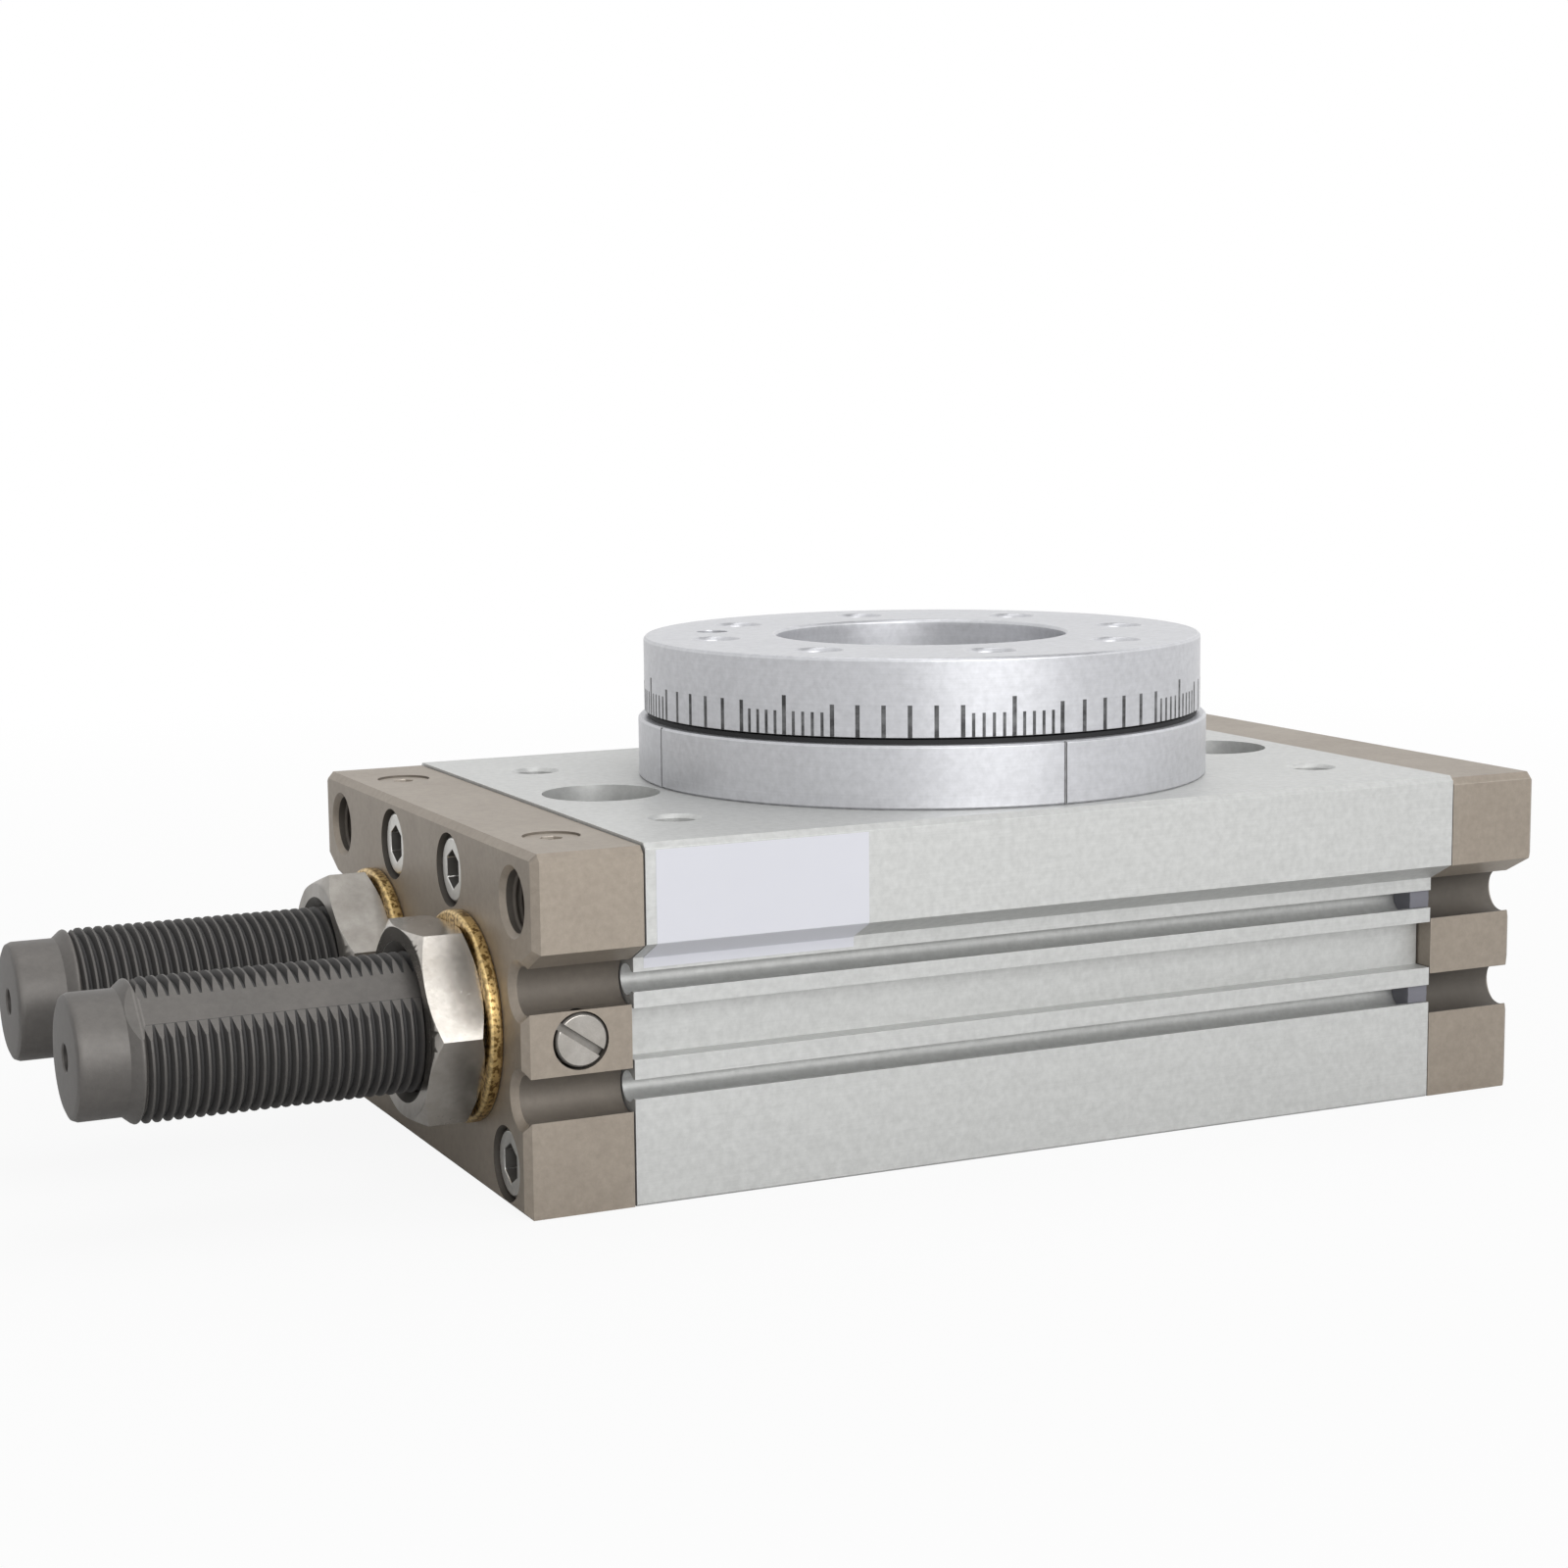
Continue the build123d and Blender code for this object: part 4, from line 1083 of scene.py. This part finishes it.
@dataclass
class AngleScale:
    """The black angle scale printed on the side of the round table."""

    radius: float = 44.0
    bottom: float = 62.45
    tall: float = 5.8
    medium: float = 4.7
    short: float = 3.5
    bold: float = 0.66
    fine: float = 0.48
    thickness: float = 0.06
    first_degrees: float = -100.0
    group_degrees: int = 45
    fine_reach: int = 10
    fine_step: int = 2
    coarse_step: int = 5

    def build(self) -> None:
        """Builds every mark as a thin plate of ink."""
        shape = Shape()
        for group in range(360 // self.group_degrees):
            base = self.first_degrees + group * self.group_degrees
            for offset, height in self._marks():
                centre = (self.radius - self.thickness / 3, 0.0, self.bottom + height / 2)
                width = self.fine if height < self.medium else self.bold
                shape.plate(base + offset, centre, (self.thickness, width, height))
        shape.finish("table_angle_scale", "seal_rubber", "table", finish="scale_ink")

    def _marks(self) -> list[tuple[float, float]]:
        """The marks of one group.

        Returns:
            Angle from the tall mark in degrees, and height.
        """
        marks = {0: self.tall}
        half = self.group_degrees // 2
        for step in range(self.fine_step, self.fine_reach, self.fine_step):
            marks[step] = self.short
            marks[-step] = self.short
        for step in (self.fine_reach, -self.fine_reach):
            marks[step] = self.medium
        for step in range(self.fine_reach + self.coarse_step, half + 1, self.coarse_step):
            marks[step] = self.medium
            marks[-step] = self.medium
        return sorted(marks.items())


@dataclass
class IndexLines:
    """The two thin dark lines across the edge of the bearing retainer."""

    radius: float = 45.0
    bottom: float = 52.05
    top: float = 61.35
    width: float = 0.32
    depth: float = 0.16

    def build(self) -> None:
        """Builds both lines as thin fillings of their grooves."""
        shape = Shape()
        centre = (self.radius - self.depth, 0.0, (self.bottom + self.top) / 2)
        for degrees in (-90.0, 180.0):
            shape.plate(degrees, centre, (self.depth, self.width, self.top - self.bottom))
        shape.finish("retainer_index_lines", "seal_rubber", "housing", finish="index_ink")


@dataclass
class Sticker:
    """The bare white sticker that is folded down the near face of the housing."""

    left: float = -66.2
    right: float = -33.8
    rows: tuple[tuple[float, float], ...] = (
        (-48.03, 51.0),
        (-48.03, 38.05),
        (-47.85, 37.82),
        (-43.20, 35.34),
        (-43.03, 35.10),
        (-43.03, 33.75),
    )
    thickness: float = 0.08
    columns: int = 12

    def build(self) -> None:
        """Builds the sticker as a folded sheet."""
        shape = Shape()
        edges = edges_of(shape.chain([(self.left, y, z) for y, z in self.rows]))
        step = (self.right - self.left) / self.columns
        for _ in range(self.columns):
            made = bmesh.ops.extrude_edge_only(shape.bm, edges=edges)
            verts = [item for item in made["geom"] if isinstance(item, bmesh.types.BMVert)]
            bmesh.ops.translate(shape.bm, vec=(step, 0.0, 0.0), verts=verts)
            edges = edges_of(made["geom"])
        bmesh.ops.recalc_face_normals(shape.bm, faces=shape.bm.faces)
        bmesh.ops.solidify(shape.bm, geom=list(shape.bm.faces), thickness=self.thickness)
        shape.finish("front_sticker", "wear_plastic", "housing", finish="sticker")


@dataclass
class HoleThreads:
    """Screw threads in the tapped holes and air ports.

    Args:
        name: Name of the piece.
        slot: The record's material slot.
        body: The CAD body that carries it.
        places: Mouth of each hole.
        along: "X" or "Z", the axis of the holes.
        inward: 1 or -1, the way into the holes along that axis.
        radius: Radius of the hole in the CAD part.
        height: How far the thread stands in from the wall.
        pitch: Pitch of the thread.
        start: Distance from the mouth to the thread.
        depth: Length of the thread.
        dark: How strongly shade is painted on the thread.
    """

    name: str
    slot: str
    body: str
    places: list[Triple]
    along: str
    inward: float
    radius: float
    height: float
    pitch: float
    start: float
    depth: float
    dark: float = 0.0
    steps: int = 28

    def build(self) -> None:
        """Winds a thread in each hole."""
        shape = Shape()
        turns = math.floor(self.depth / self.pitch)
        sunk = self.radius + 0.06
        crest = self.radius - self.height
        profile = [
            (-0.44 * self.pitch, sunk),
            (-0.10 * self.pitch, crest),
            (0.10 * self.pitch, crest),
            (0.44 * self.pitch, sunk),
        ]
        step = self.inward * self.pitch
        offset = self.inward * (self.start + self.pitch / 2)
        shift = Vector((offset, 0.0, 0.0)) if self.along == "X" else Vector((0.0, 0.0, offset))
        for place in self.places:
            shape.helix(profile, tuple(Vector(place) + shift), self.along, step, turns, self.steps)
        # Paints shade over the whole thread.
        shape.paint(shape.bm.faces, shape.grime, self.dark)
        shape.finish(self.name, self.slot, self.body)


def circle_places(radius: float, height: float, first: float, count: int) -> list[Triple]:
    """Places on a circle about the table axis.

    Args:
        radius: Radius of the circle.
        height: Z of the places.
        first: Direction of the first place in degrees.
        count: Number of places.

    Returns:
        The places.
    """
    turns = [math.radians(first + index * 360.0 / count) for index in range(count)]
    return [(radius * math.cos(turn), radius * math.sin(turn), height) for turn in turns]


# Studio


@dataclass(frozen=True)
class PhotoCamera:
    """The camera that took the photograph."""

    focal_pixels: float = 2973.43
    azimuth: float = 25.229
    elevation: float = 7.991
    roll: float = -0.582
    aim: Triple = (0.0, 0.0, 40.0)
    right_mm: float = 22.042
    down_mm: float = 9.452
    away_mm: float = 467.45

    def build(self) -> None:
        """Makes the camera and gives it to the scene."""
        azimuth = math.radians(self.azimuth)
        elevation = math.radians(self.elevation)
        roll = math.radians(self.roll)
        flat = math.cos(elevation)
        view = Vector((math.sin(azimuth) * flat, math.cos(azimuth) * flat, -math.sin(elevation)))
        level = Vector((math.cos(azimuth), -math.sin(azimuth), 0.0))
        upright = level.cross(view)
        right = level * math.cos(roll) + upright * math.sin(roll)
        up = -level * math.sin(roll) + upright * math.cos(roll)
        place = Vector(self.aim) - right * self.right_mm + up * self.down_mm - view * self.away_mm
        data = bpy.data.cameras.new("photo_camera")
        data.sensor_width = SENSOR_MM
        data.sensor_fit = "HORIZONTAL"
        data.lens = self.focal_pixels / PHOTO_PIXELS * SENSOR_MM
        data.clip_start = 0.01
        data.clip_end = 50.0
        camera = bpy.data.objects.new("photo_camera", data)
        turn = Matrix((right, up, -view)).transposed().to_4x4()
        camera.matrix_world = Matrix.Translation(place * MM) @ turn
        bpy.context.scene.collection.objects.link(camera)
        bpy.context.scene.camera = camera


@dataclass(frozen=True)
class Lamp:
    """A soft square lamp that points at the object.

    Args:
        name: Name of the lamp.
        place: Where it stands, in metres.
        size: Length of its sides, in metres.
        power: Its power in watts.
    """

    name: str
    place: Triple
    size: tuple[float, float]
    power: float

    def build(self) -> None:
        """Makes the lamp."""
        data = bpy.data.lights.new(self.name, "AREA")
        data.shape = "RECTANGLE"
        data.size, data.size_y = self.size
        data.energy = self.power
        lamp = bpy.data.objects.new(self.name, data)
        aim = Vector((0.0, 0.0, 0.03)) - Vector(self.place)
        turn = aim.to_track_quat("-Z", "Y").to_matrix().to_4x4()
        lamp.matrix_world = Matrix.Translation(self.place) @ turn
        bpy.context.scene.collection.objects.link(lamp)


@dataclass(frozen=True)
class Studio:
    """A pale floor, a white surround, soft lamps and a dark sheet overhead that only reflections see, a
    painted dark reflection.
    """

    floor_size: float = 12.0
    floor_level: float = 0.60
    surround: float = 0.50
    floor_glow: float = 0.91
    glow_reach: tuple[float, float] = (0.15, 0.6)
    board_middle: Triple = (0.65, 0.30, 1.0)
    board_size: tuple[float, float] = (1.0, 1.3)
    board_level: float = 0.05
    lamps: tuple[Lamp, ...] = (
        Lamp("top_lamp", (0.50, 0.1, 1.2), (1.3, 1.3), 10.0),
        Lamp("front_lamp", (0.0, -1.25, 0.55), (1.1, 1.1), 12.5),
    )

    def build(self) -> None:
        """Builds the whole studio."""
        self._surround()
        self._floor()
        self._board()
        for lamp in self.lamps:
            lamp.build()
        bpy.context.scene.view_settings.view_transform = "Standard"

    def _surround(self) -> None:
        """Makes a world that is white to the eye and softer as a light."""
        world = bpy.data.worlds.new("studio_surround")
        world.use_nodes = True
        bpy.context.scene.world = world
        nodes = Nodes(world.node_tree)
        strength = self.surround + self._seen(nodes) * (1.0 - self.surround)
        glow = nodes.add("ShaderNodeBackground", None, {"Color": grey(1.0), "Strength": strength})
        nodes.end(glow, "ShaderNodeOutputWorld")

    @staticmethod
    def _seen(nodes: Nodes) -> Value:
        """1 for rays that look, reflect or pass through, and 0 for rays that light."""
        path = nodes.add("ShaderNodeLightPath")
        outputs = path.socket.node.outputs
        kinds = [Value(nodes, outputs[n]) for n in ("Is Camera Ray", "Is Glossy Ray", "Is Transmission Ray")]
        return (kinds[0] + kinds[1] + kinds[2]).clamp()

    @staticmethod
    def _sheet(name: str, matrix: Matrix, material: bpy.types.Material) -> bpy.types.Object:
        """Makes a flat sheet.

        Args:
            name: Name of the sheet.
            matrix: Takes a square with sides of 1 m to the sheet.
            material: Its material.

        Returns:
            The sheet.
        """
        bm = bmesh.new()
        bmesh.ops.create_grid(bm, x_segments=1, y_segments=1, size=0.5, matrix=matrix)
        mesh = bpy.data.meshes.new(name)
        bm.to_mesh(mesh)
        bm.free()
        mesh.materials.append(material)
        sheet = bpy.data.objects.new(name, mesh)
        bpy.context.scene.collection.objects.link(sheet)
        return sheet

    def _floor(self) -> None:
        """Makes the floor, which keeps a faint shadow on white."""
        material, nodes = new_material("pale_floor")
        matt = nodes.add("ShaderNodeBsdfDiffuse", None, {"Color": grey(self.floor_level)})
        glow = nodes.add("ShaderNodeEmission", None, {"Color": grey(1.0), "Strength": 1.0})
        across, along, _ = nodes.parts(nodes.place())
        start, full = self.glow_reach
        far = nodes.ramp(across.length_with(along), [(start, 0.0), (full, 1.0)])
        near_share = nodes.add("ShaderNodeLightPath", output="Is Camera Ray") * self.floor_glow
        share = self._seen(nodes) * (near_share + far * (1.0 - near_share))
        nodes.end(nodes.add("ShaderNodeMixShader", None, {0: share, 1: matt, 2: glow}))
        size = Matrix.Diagonal((self.floor_size, self.floor_size, 1.0, 1.0))
        self._sheet("studio_floor", size, material)

    def _board(self) -> None:
        """Makes a dark sheet overhead that only reflections see, a painted dark reflection in the shiny
        parts; it gives no diffuse light and casts no shadow.
        """
        material, nodes = new_material("dark_board")
        painted_dark = nodes.noise((6.0,) * 3, 2.0) * 0.02 + self.board_level
        tone = nodes.mix(painted_dark, grey(0.0), grey(1.0))
        nodes.end(nodes.add("ShaderNodeEmission", None, {"Color": tone, "Strength": 1.0}))
        size = Matrix.Diagonal((*self.board_size, 1.0, 1.0))
        board = self._sheet("reflection_only_board", Matrix.Translation(self.board_middle) @ size, material)
        board.visible_camera = False
        board.visible_diffuse = False
        board.visible_shadow = False


def main() -> None:
    """Builds the whole scene in order."""
    logging.basicConfig(level=logging.INFO, format="%(message)s")
    DRESSER.dress_nodes()
    RoundedParts().build()
    ThreadedAbsorber("near", axis_y=-20.0, flat_degrees=47.0).build()
    ThreadedAbsorber("far", axis_y=20.0, flat_degrees=205.0).build()
    AngleScale().build()
    IndexLines().build()
    Sticker().build()
    HoleThreads(
        "table_hole_threads", "machined_aluminium", "table",
        circle_places(radius=33.5, height=74.0, first=-100.0, count=8),
        along="Z", inward=-1.0, radius=3.4, height=0.28, pitch=1.25, start=0.9, depth=8.2, dark=0.3,
    ).build()
    HoleThreads(
        "body_hole_threads", "body_aluminium", "housing",
        [(x, y, 52.0) for x in (-55.0, 55.0) for y in (-28.5, 28.5)],
        along="Z", inward=-1.0, radius=3.4, height=0.28, pitch=1.25, start=1.0, depth=9.5,
    ).build()
    HoleThreads(
        "port_threads", "cover_aluminium", "housing", [(-84.0, y, z) for y, z in PLACES.ports],
        along="X", inward=1.0, radius=4.4, height=0.3, pitch=0.9, start=1.0, depth=7.6, dark=0.75,
    ).build()
    PhotoCamera().build()
    Studio().build()


if __name__ == "__main__":
    main()
